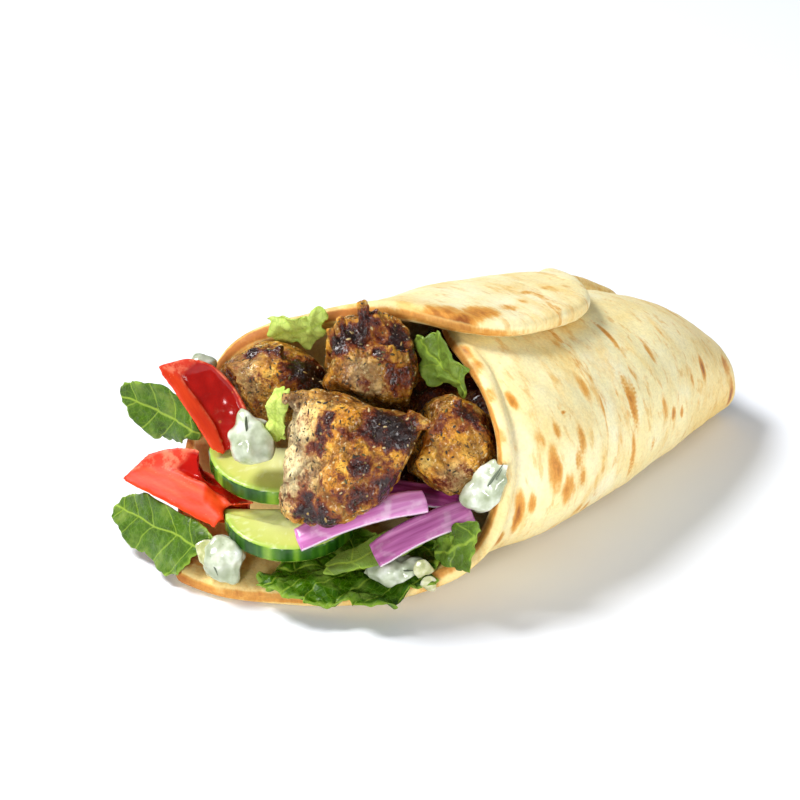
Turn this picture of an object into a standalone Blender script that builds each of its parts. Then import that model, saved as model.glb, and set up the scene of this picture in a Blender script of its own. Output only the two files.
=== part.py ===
"""Gyro wrap: a flatbread rolled into a cone, open at the front and pinched at the tail.

Chicken, tomato, cucumber, onion, lettuce and white sauce show at the mouth, and a heap
of meat runs from the mouth to the tail. +X runs from the lip to the tail, -Y is the side
where the near edge of the bread folds over, +Z is up. Shapes are worked out in
millimetres and turned into metres when each mesh is made.
"""

import math

import bmesh
import bpy
import numpy as np
from mathutils import Matrix, Vector, noise
from mathutils.bvhtree import BVHTree

MM = 0.001

# The rolled flatbread
LENGTH = 196.0
THICK = 6.0
SEAM = 0.9
STATIONS = (0, 35, 70, 105, 140, 172, 188, 200)
HALF_WIDTH = (47.3, 47.3, 46, 41.7, 34.8, 26.5, 21.5, 17.5)
HALF_HEIGHT = (38, 35.5, 31.7, 27.8, 25.0, 20.0, 14.8, 9.0)
SWAY = (1.1, -1.1, -2.6, -3, -1.6, 0.8, 2.2, 3.2)
FRONT = 3.0
NEAR_X = (3, 4.5, 8, 15, 27, 41, 54, 65, 74, 84, 96, 115, 140, 165, 200)
NEAR_EDGE = (-0.13, -0.09, -0.02, 0.055, 0.16, 0.248, 0.32, 0.42, 0.64, 0.95, 1.12, 1.25, 1.4, 1.5, 1.56)
FAR_X = (3, 4.5, 8, 15, 27, 40, 54, 66, 77, 89, 102, 116, 129, 138, 145, 153, 200)
FAR_EDGE = (0.13, 0.16, 0.2, 0.26, 0.40, 0.60, 0.705, 0.82, 1.02, 1.13, 1.155, 1.14, 1.12, 1.05, 0.88, 0.70, 0.60)
BREAD_CELLS = 26
FLAT_SPOT = 0.5

# Clearances between pieces, and the thickness of a lettuce leaf
GAP = 0.55
LEAF = 0.9


def ease(x, xs, ys):
    """A smooth curve through the stations that never overshoots them."""
    xs, ys = np.array(xs, float), np.array(ys, float)
    step = np.diff(xs)
    rise = np.diff(ys) / step
    slope = np.zeros_like(ys)
    product = rise[:-1] * rise[1:]
    total = np.where(product > 0, rise[:-1] + rise[1:], 1.0)
    slope[1:-1] = np.where(product > 0, 2 * product / total, 0.0)
    slope[0], slope[-1] = rise[0], rise[-1]
    x = min(max(x, xs[0]), xs[-1])
    i = min(max(int(np.searchsorted(xs, x)) - 1, 0), len(step) - 1)
    t = (x - xs[i]) / step[i]
    return float(
        (2 * t**3 - 3 * t**2 + 1) * ys[i]
        + (t**3 - 2 * t**2 + t) * step[i] * slope[i]
        + (3 * t**2 - 2 * t**3) * ys[i + 1]
        + (t**3 - t**2) * step[i] * slope[i + 1]
    )


def ramp(x, low, high):
    t = np.clip((x - low) / (high - low), 0.0, 1.0)
    return t * t * (3 - 2 * t)


def wobble(point, size, seed=0.0):
    """Smooth noise of about -1 to 1 with the given feature size."""
    return noise.noise(Vector(point) / size + Vector((seed, 1.7 * seed, -seed)))


def section(x):
    """The roll's section at x: turn (0 at the bottom, 1 at the top), girth, y and z."""
    turn = np.linspace(-1.65, 1.3, 591)
    angle = turn * math.pi
    half_w, half_h = ease(x, STATIONS, HALF_WIDTH), ease(x, STATIONS, HALF_HEIGHT)
    start = 2 - ease(max(x, 84), NEAR_X, NEAR_EDGE) - 0.06
    out = (THICK + SEAM) * ramp(turn, start - 0.32, start) * ramp(x, 42, 68)
    power = np.where(np.cos(angle) > 0, 3.0, 2.3)
    wide, tall = half_w + out, half_h + out / 2
    r = ((np.abs(np.sin(angle)) / wide) ** power + (np.abs(np.cos(angle)) / tall) ** power) ** (-1 / power)
    y = ease(x, STATIONS, SWAY) + r * np.sin(angle)
    z = tall - r * np.cos(angle) + THICK / 2
    girth = np.concatenate([[0.0], np.cumsum(np.hypot(np.diff(y), np.diff(z)))])
    return turn, girth - np.interp(0.0, turn, girth), y, z


def sheet_point(x, across):
    """A point of the bread's middle surface: across is -1 at the near edge and 1 at the far one."""
    turn, girth, y, z = section(x)
    low = np.interp(-ease(x, NEAR_X, NEAR_EDGE), turn, girth)
    high = np.interp(ease(x, FAR_X, FAR_EDGE), turn, girth)
    at = low + (high - low) * (across + 1) / 2
    point = np.array([x, np.interp(at, girth, y), np.interp(at, girth, z)])
    middle = np.array([x, ease(x, STATIONS, SWAY), ease(x, STATIONS, HALF_HEIGHT)])
    away = (point - middle) / max(np.linalg.norm(point - middle), 1e-6)
    lift = 1.3 * wobble(point, 34, 3.0) * ramp(point[2], 4, 16)
    return point + away * lift


def tail_x(across):
    """Where the tail edge lies: it bulges back in the middle of the sheet."""
    return LENGTH - 9 * (across + 0.1) ** 2 + 1.6 * math.sin(7 * across)


def bread_grid(cells):
    """The bread's middle surface on a square grid bent into a round sheet at the front."""
    middle = LENGTH / 2
    grid = np.zeros((cells + 1, cells + 1, 3))
    for i in range(cells + 1):
        u = -1 + 2 * i / cells
        for j in range(cells + 1):
            v = -1 + 2 * j / cells
            if u < 0:
                s = u * math.sqrt(1 - v * v / 2)
                t = v * math.sqrt(1 - u * u / 2)
                x = FRONT + (middle - FRONT) * (1 + s)
                v = min(max(t / math.sqrt(max(1 - s * s, 1e-9)), -1.0), 1.0)
            else:
                x = middle + u * (tail_x(v) - middle)
            grid[i, j] = sheet_point(x, v)
    for _ in range(2):
        around = (grid[:-2, 1:-1] + grid[2:, 1:-1] + grid[1:-1, :-2] + grid[1:-1, 2:]) / 4
        grid[1:-1, 1:-1] += 0.5 * (around - grid[1:-1, 1:-1])
    return grid


def thick_sheet(grid, thick, rim=(-35, 35), flat=None):
    """A closed sheet round a grid of its middle surface, with a rounded rim and both faces split alike."""
    rows, columns = grid.shape[:2]
    sheet = bmesh.new()
    middle = [[sheet.verts.new(grid[i, j]) for j in range(columns)] for i in range(rows)]
    for i in range(rows - 1):
        for j in range(columns - 1):
            sheet.faces.new((middle[i][j], middle[i + 1][j], middle[i + 1][j + 1], middle[i][j + 1]))
    sheet.normal_update()
    normals = np.array([[list(v.normal) for v in row] for row in middle])
    sheet.free()
    half = thick / 2
    upper, lower = grid + normals * half, grid - normals * half
    if flat is not None:
        lower = lower.copy()
        upper, lower = upper.copy(), lower
        for side in (upper, lower):
            side[..., 2] = np.maximum(side[..., 2], flat)
    loop = [(i, 0) for i in range(rows - 1)] + [(rows - 1, j) for j in range(columns - 1)]
    loop += [(i, columns - 1) for i in range(rows - 1, 0, -1)] + [(0, j) for j in range(columns - 1, 0, -1)]
    count = len(loop)
    points = [p for p in upper.reshape(-1, 3)] + [p for p in lower.reshape(-1, 3)]
    number = rows * columns
    top = [i * columns + j for i, j in loop]
    bottom = [number + k for k in top]
    rings = [bottom]
    for degrees in rim:
        ring = []
        for k, (i, j) in enumerate(loop):
            along = grid[loop[(k + 1) % count]] - grid[loop[k - 1]]
            outward = np.cross(along, normals[i, j])
            outward /= max(np.linalg.norm(outward), 1e-9)
            inside = grid[min(max(i, 1), rows - 2), min(max(j, 1), columns - 2)]
            if np.dot(outward, grid[i, j] - inside) < 0:
                outward = -outward
            a = math.radians(degrees)
            p = grid[i, j] + half * (math.cos(a) * outward + math.sin(a) * normals[i, j])
            if flat is not None:
                p[2] = max(p[2], flat)
            ring.append(len(points))
            points.append(p)
        rings.append(ring)
    rings.append(top)
    faces = []
    for i in range(rows - 1):
        for j in range(columns - 1):
            a, b = i * columns + j, (i + 1) * columns + j
            quads = (a, b, b + 1, a + 1)
            one = np.linalg.norm(grid[i, j] - grid[i + 1, j + 1])
            other = np.linalg.norm(grid[i + 1, j] - grid[i, j + 1])
            split = ((0, 1, 2), (0, 2, 3)) if one <= other else ((0, 1, 3), (1, 2, 3))
            for tri in split:
                faces.append(tuple(quads[k] for k in tri))
                faces.append(tuple(number + quads[k] for k in reversed(tri)))
    for first, second in zip(rings[:-1], rings[1:]):
        for k in range(count):
            nxt = (k + 1) % count
            faces.append((first[k], first[nxt], second[nxt]))
            faces.append((first[k], second[nxt], second[k]))
    return points, faces


def round_grid(cells):
    """Directions on a sphere from the faces of a cube, with its triangles."""
    ball = bmesh.new()
    bmesh.ops.create_cube(ball, size=2.0)
    bmesh.ops.subdivide_edges(ball, edges=ball.edges[:], cuts=cells - 1, use_grid_fill=True)
    for v in ball.verts:
        v.co = Vector([math.tan(c * math.pi / 4) for c in v.co]).normalized()
    bmesh.ops.triangulate(ball, faces=ball.faces[:])
    ball.normal_update()
    points = np.array([list(v.co) for v in ball.verts])
    faces = np.array([[v.index for v in f.verts] for f in ball.faces])
    ball.free()
    return points, faces


def carved(dirs, half, cuts=(), power=8.0):
    """Radii of an ellipsoid with flat cuts, each a direction and a distance, and rounded edges."""
    total = (np.sqrt(((dirs / np.array(half)) ** 2).sum(1))) ** power
    for direction, distance in cuts:
        unit = np.array(direction, float)
        unit /= np.linalg.norm(unit)
        total = total + (np.maximum(dirs @ unit, 0) / distance) ** power
    return total ** (-1 / power)


def limit_radii(centre, dirs, faces, radii, placed, gap):
    """Shortens radii so that the blob stops short of what is already placed."""
    if not placed:
        return radii
    start = Vector(centre)

    def reach(direction):
        unit = Vector(direction).normalized()
        best = 1e9
        for tree in placed:
            hit = tree.ray_cast(start, unit, 400.0)
            if hit[0] is not None:
                best = min(best, hit[3])
        return best

    room = np.array([reach(d) for d in dirs])
    for face in faces:
        samples = [dirs[face].mean(0)] + [(dirs[face[k]] + dirs[face[k - 1]]) / 2 for k in range(3)]
        low = min(reach(s) for s in samples)
        room[face] = np.minimum(room[face], low)
    return np.minimum(radii, np.maximum(room - gap, 0.4))


class Heap:
    """What has been placed so far: its meshes as search trees."""

    def __init__(self):
        self.trees = {}

    def add(self, name, points, faces, colour, rough=0.5, smooth=True):
        mesh = bpy.data.meshes.new(name)
        mesh.from_pydata([tuple(Vector(p) * MM) for p in points], [], [tuple(int(k) for k in f) for f in faces])
        tidy = bmesh.new()
        tidy.from_mesh(mesh)
        bmesh.ops.recalc_face_normals(tidy, faces=tidy.faces[:])
        tidy.to_mesh(mesh)
        tidy.free()
        for polygon in mesh.polygons:
            polygon.use_smooth = smooth
        part = bpy.data.objects.new(name, mesh)
        bpy.context.scene.collection.objects.link(part)
        mesh.materials.append(material(name, colour, rough))
        spots = [Vector(v.co) / MM for v in mesh.vertices]
        self.trees[name] = BVHTree.FromPolygons(spots, [list(f.vertices) for f in mesh.polygons])
        return part

    def others(self, names=None):
        return [tree for name, tree in self.trees.items() if names is None or name in names]

    def blob(self, name, centre, radii_of, cells, colour, gap=GAP, rough=0.5, stretch=(1, 1, 1)):
        dirs, faces = round_grid(cells)
        dirs = dirs * np.array(stretch)
        dirs /= np.linalg.norm(dirs, axis=1)[:, None]
        radii = limit_radii(centre, dirs, faces, radii_of(dirs), self.others(), gap)
        return self.add(name, np.array(centre) + dirs * radii[:, None], faces, colour, rough)

    def settle(self, name, grid, clearance, rounds=40):
        """Pushes a sheet's grid out of everything placed until it clears it, keeping it smooth."""
        trees = self.others()
        rows, columns = grid.shape[:2]
        up = Vector((0.31, 0.27, 0.91)).normalized()

        def inside(tree, point):
            start, hits = point.copy(), 0
            while hits < 20:
                spot = tree.ray_cast(start, up, 400.0)[0]
                if spot is None:
                    break
                hits += 1
                start = spot + up * 1e-4
            return hits % 2 == 1

        def shift(point):
            move = Vector((0, 0, 0))
            point = Vector(point)
            for tree in trees:
                spot, normal, _, distance = tree.find_nearest(point, 30.0)
                if spot is None:
                    continue
                if inside(tree, point):
                    move += normal * min(clearance + distance, 1.5)
                elif distance < clearance:
                    move += (point - spot).normalized() * (clearance - distance)
            return np.array(move)

        for turn in range(rounds):
            moves = np.zeros_like(grid)
            worst = 0.0
            for i in range(rows):
                for j in range(columns):
                    moves[i, j] = shift(grid[i, j])
                    worst = max(worst, float(np.linalg.norm(moves[i, j])))
            for i in range(rows - 1):
                for j in range(columns - 1):
                    cell = [(i, j), (i + 1, j), (i + 1, j + 1), (i, j + 1)]
                    for k in range(5):
                        near = cell if k == 4 else (cell[k - 1], cell[k])
                        spot = np.mean([grid[c] for c in near], axis=0)
                        step = shift(spot)
                        size = float(np.linalg.norm(step))
                        worst = max(worst, size)
                        for c in near:
                            if size > np.linalg.norm(moves[c]):
                                moves[c] = step
            if worst < 0.03:
                break
            if turn < rounds * 0.6:
                soft = np.pad(moves, ((1, 1), (1, 1), (0, 0)), "edge")
                soft = (soft[:-2, 1:-1] + soft[2:, 1:-1] + soft[1:-1, :-2] + soft[1:-1, 2:]) / 4
                moves = 0.6 * moves + 0.4 * soft
            grid = grid + moves
        if worst >= 0.03:
            print(f"{name} still needs {worst:.2f} mm")
        return grid

    def sheet(self, name, grid, colour, thick=LEAF, rim=(), rough=0.45):
        grid = self.settle(name, np.array(grid), thick / 2 + 0.5)
        points, faces = thick_sheet(grid, thick, rim=rim)
        return self.add(name, points, faces, colour, rough)

    def fitted(self, name, points, faces, colour, rough=0.35, gap=GAP):
        """A piece of fixed form, pressed in only where a neighbour is in its way."""
        points = np.array(points)
        centre = points.mean(0)
        arms = points - centre
        radii = np.linalg.norm(arms, axis=1)
        dirs = arms / radii[:, None]
        short = limit_radii(centre, dirs, np.array(faces), radii, self.others(), gap)
        return self.add(name, centre + dirs * short[:, None], faces, colour, rough)


def material(name, colour, rough):
    made = bpy.data.materials.new("mat_" + name)
    made.use_nodes = True
    shader = made.node_tree.nodes["Principled BSDF"]
    shader.inputs["Base Color"].default_value = (*colour, 1.0)
    shader.inputs["Roughness"].default_value = rough
    return made


CRUST = (0.78, 0.60, 0.34)
MEAT = (0.36, 0.19, 0.07)
TOMATO = (0.72, 0.09, 0.03)
CUCUMBER = (0.55, 0.66, 0.30)
ONION = (0.50, 0.18, 0.36)
LETTUCE = (0.20, 0.38, 0.06)
SAUCE = (0.86, 0.86, 0.80)


def add_bread(heap):
    grid = bread_grid(BREAD_CELLS)
    points, faces = thick_sheet(grid, THICK, rim=(-38, 38), flat=FLAT_SPOT)
    heap.add("flatbread", points, faces, CRUST, 0.6)


def half_slice(radius, thick, steps=20, share=0.5):
    """A half disc of cucumber with softened edges: its flat side along local X, its face up."""
    rim = [(radius * math.cos(a), -radius * math.sin(a)) for a in np.linspace(0, math.pi * 2 * share, steps)]
    rim += [(-radius * t, 0.0) for t in (0.6, 0.2, -0.2, -0.6)]
    centre = np.mean(rim, axis=0)
    points, rings = [], []
    soft = 0.8
    for height, inset in ((-thick / 2, soft), (-thick / 2 + soft, 0), (thick / 2 - soft, 0), (thick / 2, soft)):
        ring = []
        for x, y in rim:
            away = np.array([x, y]) - centre
            p = centre + away * (1 - inset / np.linalg.norm(away))
            ring.append(len(points))
            points.append((p[0], p[1], height))
        rings.append(ring)
    count = len(rim)
    faces = []
    for first, second in zip(rings[:-1], rings[1:]):
        for k in range(count):
            nxt = (k + 1) % count
            faces += [(first[k], first[nxt], second[nxt]), (first[k], second[nxt], second[k])]
    for ring, height in ((rings[0], -thick / 2), (rings[-1], thick / 2)):
        points.append((centre[0], centre[1], height))
        for k in range(count):
            faces.append((ring[k], ring[(k + 1) % count], len(points) - 1))
    return np.array(points), faces


def wedge(length, depth, open_deg, stations=13, skin=7):
    """A tomato wedge: poles along local X, skin towards -Z, the sharp core edge up."""
    points, rings = [], []
    for i in range(1, stations):
        s = -1 + 2 * i / stations
        radius = depth * (1 - abs(s) ** 2.3) ** 0.5
        ring = []
        for a in np.linspace(-open_deg / 2, open_deg / 2, skin):
            r = math.radians(a)
            ring.append((s * length / 2, radius * math.sin(r), depth * 0.5 - radius * math.cos(r)))
        half = math.radians(open_deg / 2)
        for share in (0.66, 0.33):
            r = radius * share
            dip = 0.05 * depth
            ring.append((s * length / 2, r * math.sin(half) - dip, depth * 0.5 - r * math.cos(half)))
        ring.append((s * length / 2, 0.0, depth * 0.5 - 0.08 * radius))
        for share in (0.33, 0.66):
            r = radius * share
            ring.append((s * length / 2, -r * math.sin(half) + dip, depth * 0.5 - r * math.cos(half)))
        rings.append([len(points) + k for k in range(len(ring))])
        points += ring
    count = len(rings[0])
    faces = []
    for first, second in zip(rings[:-1], rings[1:]):
        for k in range(count):
            nxt = (k + 1) % count
            faces += [(first[k], first[nxt], second[nxt]), (first[k], second[nxt], second[k])]
    for ring, side in ((rings[0], -1), (rings[-1], 1)):
        points.append((side * length / 2, 0.0, depth * 0.42))
        for k in range(count):
            faces.append((ring[k], ring[(k + 1) % count], len(points) - 1))
    return np.array(points), faces


# The mouth faces OUTWARD: rightward along it is RIGHT and up along it is UPWARD.
OUTWARD = np.array((-0.585, -0.656, 0.477))
RIGHT = np.array((0.746, -0.666, 0.0))
UPWARD = np.array((0.317, 0.356, 0.879))


def faced(right, up, out):
    """A direction given by its shares to the right, upward and outward of the mouth."""
    return right * RIGHT + up * UPWARD + out * OUTWARD


def aligned(points, at, along, facing):
    """Puts a local shape at a spot with its X axis along one direction and Z facing another."""
    x = np.array(along, float) / np.linalg.norm(along)
    z = np.array(facing, float)
    z = z - x * np.dot(x, z)
    z /= np.linalg.norm(z)
    return np.array(points) @ np.array([x, np.cross(z, x), z]) + np.array(at)


def cut_face_up(points, open_deg):
    """Turns a wedge about its long axis so that one cut face looks along local Z."""
    half = math.radians(open_deg / 2)
    c, s = math.cos(half), math.sin(half)
    turn = np.array([[1, 0, 0], [0, s, c], [0, -c, s]])
    return np.array(points) @ turn


def ribbon(start, end, bend, width, facing, rows=12, columns=2):
    """The middle surface of a strip from start to end, bent sideways in its own plane and out of it."""
    start, end = np.array(start, float), np.array(end, float)
    along = (end - start) / np.linalg.norm(end - start)
    facing = np.array(facing, float)
    facing = facing - along * np.dot(facing, along)
    facing /= np.linalg.norm(facing)
    across = np.cross(facing, along)
    grid = np.zeros((rows + 1, columns + 1, 3))
    for i in range(rows + 1):
        t = i / rows
        for j in range(columns + 1):
            v = -1 + 2 * j / columns
            grid[i, j] = (start + (end - start) * t + across * (v * width / 2 + bend[0] * 4 * t * (1 - t))
                          + facing * bend[1] * 4 * t * (1 - t) + facing * 0.5 * (1 - v * v))
    return grid


def patch(corners, rows, columns, bulge=0.0, frill=1.5, waves=3.0, ragged=0.08, seed=0.0, fold=0.0):
    """A leaf between four corners: start left, start right, end right, end left. Its rim is frilled and uneven."""
    c = [np.array(p, float) for p in corners]
    up = np.cross(c[1] - c[0] + c[2] - c[3], c[3] - c[0] + c[2] - c[1])
    up /= np.linalg.norm(up)
    size = (np.linalg.norm(c[1] - c[0]) + np.linalg.norm(c[3] - c[0])) / 2
    grid = np.zeros((rows + 1, columns + 1, 3))
    for i in range(rows + 1):
        for j in range(columns + 1):
            u, v = -1 + 2 * i / rows, -1 + 2 * j / columns
            edge = max(abs(u), abs(v)) ** 3
            turn = math.atan2(v, u)
            s = u * (1 - 0.16 * v * v) * (1 + ragged * edge * math.sin(5 * turn + seed))
            t = v * (1 - 0.16 * u * u) * (1 + ragged * edge * math.sin(7 * turn + 1.7 * seed))
            a, b = (s + 1) / 2, (t + 1) / 2
            base = (1 - a) * ((1 - b) * c[0] + b * c[3]) + a * ((1 - b) * c[1] + b * c[2])
            lift = bulge * (1 - u * u) * (1 - v * v) + frill * edge * math.sin(waves * turn + 2 * seed)
            lift += 0.04 * size * wobble((u, v, 0.3 * seed), 0.7, seed) + fold * abs(v) ** 1.5
            grid[i, j] = base + up * lift
    return grid


def add_cucumber(heap):
    tilt = faced(0, 0, 0.14) + np.array((0, 0, 1.0))
    points, faces = half_slice(22, 5.6)
    heap.fitted("cucumber_upper", aligned(points, (38.5, 15, 31.5), RIGHT, tilt), faces, CUCUMBER)
    points, faces = half_slice(19.5, 5.6)
    heap.fitted("cucumber_lower", aligned(points, (30.5, 1.5, 20.2), RIGHT, tilt), faces, CUCUMBER)


def add_tomato(heap):
    points, faces = wedge(49, 20, 66)
    axis = np.array((14, -2, 24.0)) - np.array((4, 47, 28.5))
    heap.fitted("tomato_lower", aligned(cut_face_up(points, 66), (14, 23, 22.5), axis, OUTWARD + 0.25 * UPWARD),
                faces, TOMATO)
    points, faces = wedge(38, 17, 62)
    axis = np.array((22, 20, 36.0)) - np.array((15, 36, 60.0))
    heap.fitted("tomato_upper", aligned(cut_face_up(points, 62), (23, 30.5, 45.5), axis, OUTWARD + 0.2 * RIGHT),
                faces, TOMATO)


def chunk(half, cuts, power, rough, seed, size=0.42, bumps=()):
    """The form of a piece of chicken: an ellipsoid with flat cuts, given facing the mouth, and lumps."""
    frame = np.array([RIGHT, UPWARD, OUTWARD])

    def radii_of(dirs):
        radii = carved(dirs @ frame.T, half, cuts, power)
        gain = np.array([1 + rough * wobble(d, size, seed) + 0.35 * rough * wobble(d, size / 2.4, seed + 3) for d in dirs])
        for right, up, out, high, wide in bumps:
            unit = faced(right, up, out)
            unit /= np.linalg.norm(unit)
            gain = gain + high * np.exp(-((1 - dirs @ unit) / (wide * wide)))
        return radii * gain

    return radii_of


def add_chicken(heap):
    heap.blob("chicken_front", (38, -18, 44), chunk(
        (27, 26, 22),
        (((-1, 0.1, 0), 20), ((0.245, 0.97, 0), 16.5), ((0.9, -0.44, 0), 13.5), ((0.486, -0.874, 0), 15),
         ((-0.3, -0.95, 0), 21.5), ((-0.62, 0.1, 0.78), 15), ((0.32, -0.1, 0.93), 16), ((0.1, 0.6, 0.8), 17.5),
         ((0, 0, -1), 18)), 11, 0.06, 5), 10, MEAT)
    heap.blob("chicken_right", (66.5, -27, 41.5), chunk(
        (18, 16.5, 14), (((-0.75, 0.55, 0.1), 14), ((0.5, 0.85, 0), 14), ((-0.5, -0.8, 0.2), 13),
                       ((0.1, 0.1, 1), 12), ((0.6, -0.8, 0.2), 14)), 8, 0.09, 15), 7, MEAT)
    heap.blob("chicken_middle", (58, -1, 60.5), chunk(
        (16, 17, 15), (((-1, 0.1, 0.1), 13), ((0.1, 0.5, 0.85), 13), ((0.5, -0.3, 0.9), 13), ((1, 0.1, 0), 13.5)),
        8, 0.1, 25, bumps=((0.05, 1, 0.35, 0.34, 0.17), (-0.45, 0.9, 0.25, 0.22, 0.13), (0.4, 1, 0.3, 0.2, 0.15))), 9, MEAT)
    heap.blob("chicken_left", (40, 24.5, 51), chunk(
        (17.5, 12.5, 13), (((-0.5, 0.85, 0.1), 11.5), ((0.2, 0.9, 0.4), 11), ((-0.1, -0.6, 0.8), 11)),
        8, 0.09, 35), 7, MEAT)


def add_onion(heap):
    face = OUTWARD + 0.5 * UPWARD
    heap.sheet("onion_long", ribbon((19, -17.5, 25), (50, -34, 33), (1.6, 0.8), 5.2, face), ONION, 2.6, (-40, 40), 0.35)
    heap.sheet("onion_near", ribbon((35, -32, 20.5), (59, -43, 30), (1.2, 0.8), 6.0, face), ONION, 2.6, (-40, 40), 0.35)
    heap.sheet("onion_back", ribbon((50, -17, 30), (65, -31, 27.5), (-1.0, 0.6), 5.0, face, 8), ONION, 2.4, (-40, 40), 0.35)


def add_core(heap):
    def stuffing(dirs):
        radii = carved(dirs, (72, 42, 32), (), 4)
        return radii * np.array([1 + 0.06 * wobble(d, 0.5, 45) for d in dirs])

    heap.blob("meat_core", (122, -2, 25), stuffing, 8, MEAT, gap=0.9, stretch=(2.2, 1, 1))


def add_sauce(heap):
    frame = np.array([RIGHT, UPWARD, OUTWARD])

    def dollop(half, seed, lean=0.0, peak=None, high=0.5):
        c, s = math.cos(math.radians(lean)), math.sin(math.radians(lean))
        spin = np.array([[c, s, 0], [-s, c, 0], [0, 0, 1]])

        def radii_of(dirs):
            radii = carved(dirs @ frame.T @ spin.T, half, (), 4)
            gain = np.array([1 + 0.15 * wobble(d, 0.5, seed) for d in dirs])
            if peak is not None:
                unit = faced(*peak) / np.linalg.norm(faced(*peak))
                gain = gain + high * np.exp(-((1 - dirs @ unit) / 0.05))
            return radii * gain
        return radii_of

    heap.blob("sauce_peak", (22.5, 8, 44), dollop((7.5, 6.5, 6), 51, 0, (-0.35, 1, 0.1), 0.6), 6, SAUCE)
    heap.blob("sauce_right", (64.5, -45.5, 38.5), dollop((12, 5, 4.5), 52, 48), 6, SAUCE)
    heap.blob("sauce_low", (41, -33.5, 13.5), dollop((9.5, 4.8, 6), 53, 8), 5, SAUCE)
    heap.blob("sauce_front", (8, 5, 13), dollop((7, 7.5, 5.5), 54, -20), 5, SAUCE)
    heap.blob("sauce_back", (29.5, 42, 52), dollop((4.5, 5, 4.5), 55), 4, SAUCE)


def add_low_lettuce(heap):
    heap.sheet("lettuce_bed", patch(((4, -10, 9), (33, -45, 9), (63, -36, 14), (40, 8, 9)), 11, 9, 0, 1.3, 6, 0.09, 1.0), LETTUCE)
    heap.sheet("lettuce_rib", patch(((20, -24, 13.5), (49, -41, 22), (53, -33, 27), (27, -20.5, 18)), 9, 4, 1.0, 0.7, 3, 0.04, 2.0), LETTUCE)
    heap.sheet("lettuce_low", patch(((3, 60, 7), (-3, 18, 1.5), (7, 4, 19), (7, 40, 22)), 8, 7, 1.0, 1.0, 3, 0.06, 4.0), LETTUCE)
    heap.sheet("lettuce_left", patch(((21, 79, 35), (23, 64, 20), (29, 35, 30), (28, 60, 42)), 7, 8, -1.0, 1.0, 3, 0.06, 3.0), LETTUCE)
    heap.sheet("lettuce_near", patch(((51, -34, 22), (50, -42, 16), (51, -54, 18), (57, -53, 35)), 6, 6, 1.0, 0.8, 3, 0.16, 5.0), LETTUCE)


def add_high_lettuce(heap):
    heap.sheet("lettuce_top", patch(((70, -4, 69), (71, -12, 54), (73, -30, 56), (72, -20, 72)), 7, 8, 1.0, 1.6, 4, 0.16, 6.0), LETTUCE)
    heap.sheet("lettuce_back", patch(((49, 36, 65), (50, 34, 57), (56, 18, 60), (53, 11, 75)), 5, 8, 0.5, 1.4, 4, 0.14, 7.0), LETTUCE)
    heap.sheet("lettuce_middle", patch(((27, 6, 60), (26, 7, 46), (30, 1, 42), (29, -2, 64)), 7, 5, 0.5, 1.2, 4, 0.12, 8.0), LETTUCE)


def centre_on_floor():
    """Moves everything so that the whole stands on the floor with its middle over the origin."""
    parts = [obj for obj in bpy.data.objects if obj.type == "MESH"]
    spots = np.concatenate([[list(v.co) for v in part.data.vertices] for part in parts])
    low, high = spots.min(0), spots.max(0)
    move = Matrix.Translation((-(low[0] + high[0]) / 2, -(low[1] + high[1]) / 2, -low[2]))
    for part in parts:
        part.data.transform(move)


def main():
    for obj in list(bpy.data.objects):
        bpy.data.objects.remove(obj, do_unlink=True)
    heap = Heap()
    add_bread(heap)
    add_cucumber(heap)
    add_tomato(heap)
    add_onion(heap)
    add_low_lettuce(heap)
    add_chicken(heap)
    add_high_lettuce(heap)
    add_core(heap)
    add_sauce(heap)
    centre_on_floor()


main()
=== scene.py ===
"""Gyro wrap, dressed: toasted flatbread, charred chicken, tomato, cucumber, onion, lettuce and white sauce.

Each piece starts as a fine copy of its construction solid, which is then shaped, marked with
attributes such as char or toast, and given a procedural material. Places and sizes are in
millimetres of the wrap's own frame: +X from the mouth to the tail, -Y the near side, +Z up.
"""

import math

import bmesh
import bpy
import numpy as np
from bpy.props import FloatProperty, FloatVectorProperty, PointerProperty
from mathutils import Matrix, Vector, kdtree, noise


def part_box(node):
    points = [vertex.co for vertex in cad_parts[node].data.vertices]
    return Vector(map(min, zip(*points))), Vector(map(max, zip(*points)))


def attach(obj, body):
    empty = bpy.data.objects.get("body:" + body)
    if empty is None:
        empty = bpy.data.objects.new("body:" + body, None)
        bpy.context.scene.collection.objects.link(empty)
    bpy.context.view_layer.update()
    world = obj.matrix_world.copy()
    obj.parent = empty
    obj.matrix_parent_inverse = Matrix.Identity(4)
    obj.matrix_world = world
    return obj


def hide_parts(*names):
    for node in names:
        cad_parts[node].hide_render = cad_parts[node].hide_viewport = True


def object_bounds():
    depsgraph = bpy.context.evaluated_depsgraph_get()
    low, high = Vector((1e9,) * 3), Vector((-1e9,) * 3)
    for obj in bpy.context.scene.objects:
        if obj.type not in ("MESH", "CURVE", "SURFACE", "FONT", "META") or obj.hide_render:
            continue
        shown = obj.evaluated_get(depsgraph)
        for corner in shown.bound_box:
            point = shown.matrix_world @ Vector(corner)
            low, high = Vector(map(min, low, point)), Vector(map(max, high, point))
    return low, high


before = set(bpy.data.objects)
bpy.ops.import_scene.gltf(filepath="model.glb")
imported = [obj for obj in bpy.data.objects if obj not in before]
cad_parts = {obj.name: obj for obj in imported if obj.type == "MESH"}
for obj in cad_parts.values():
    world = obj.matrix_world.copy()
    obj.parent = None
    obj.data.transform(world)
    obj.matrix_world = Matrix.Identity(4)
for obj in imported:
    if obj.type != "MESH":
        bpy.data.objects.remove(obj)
SOLID_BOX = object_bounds()

bl_info = {
    "name": "Gyro wrap",
    "version": (1, 0, 0),
    "blender": (4, 5, 0),
    "location": "View3D > Sidebar > Gyro",
    "description": "Makes a gyro wrap: toasted flatbread round charred chicken, salad and white sauce",
    "category": "Add Mesh",
}

MM = 0.001
DRIFT_SEED = 1
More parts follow.
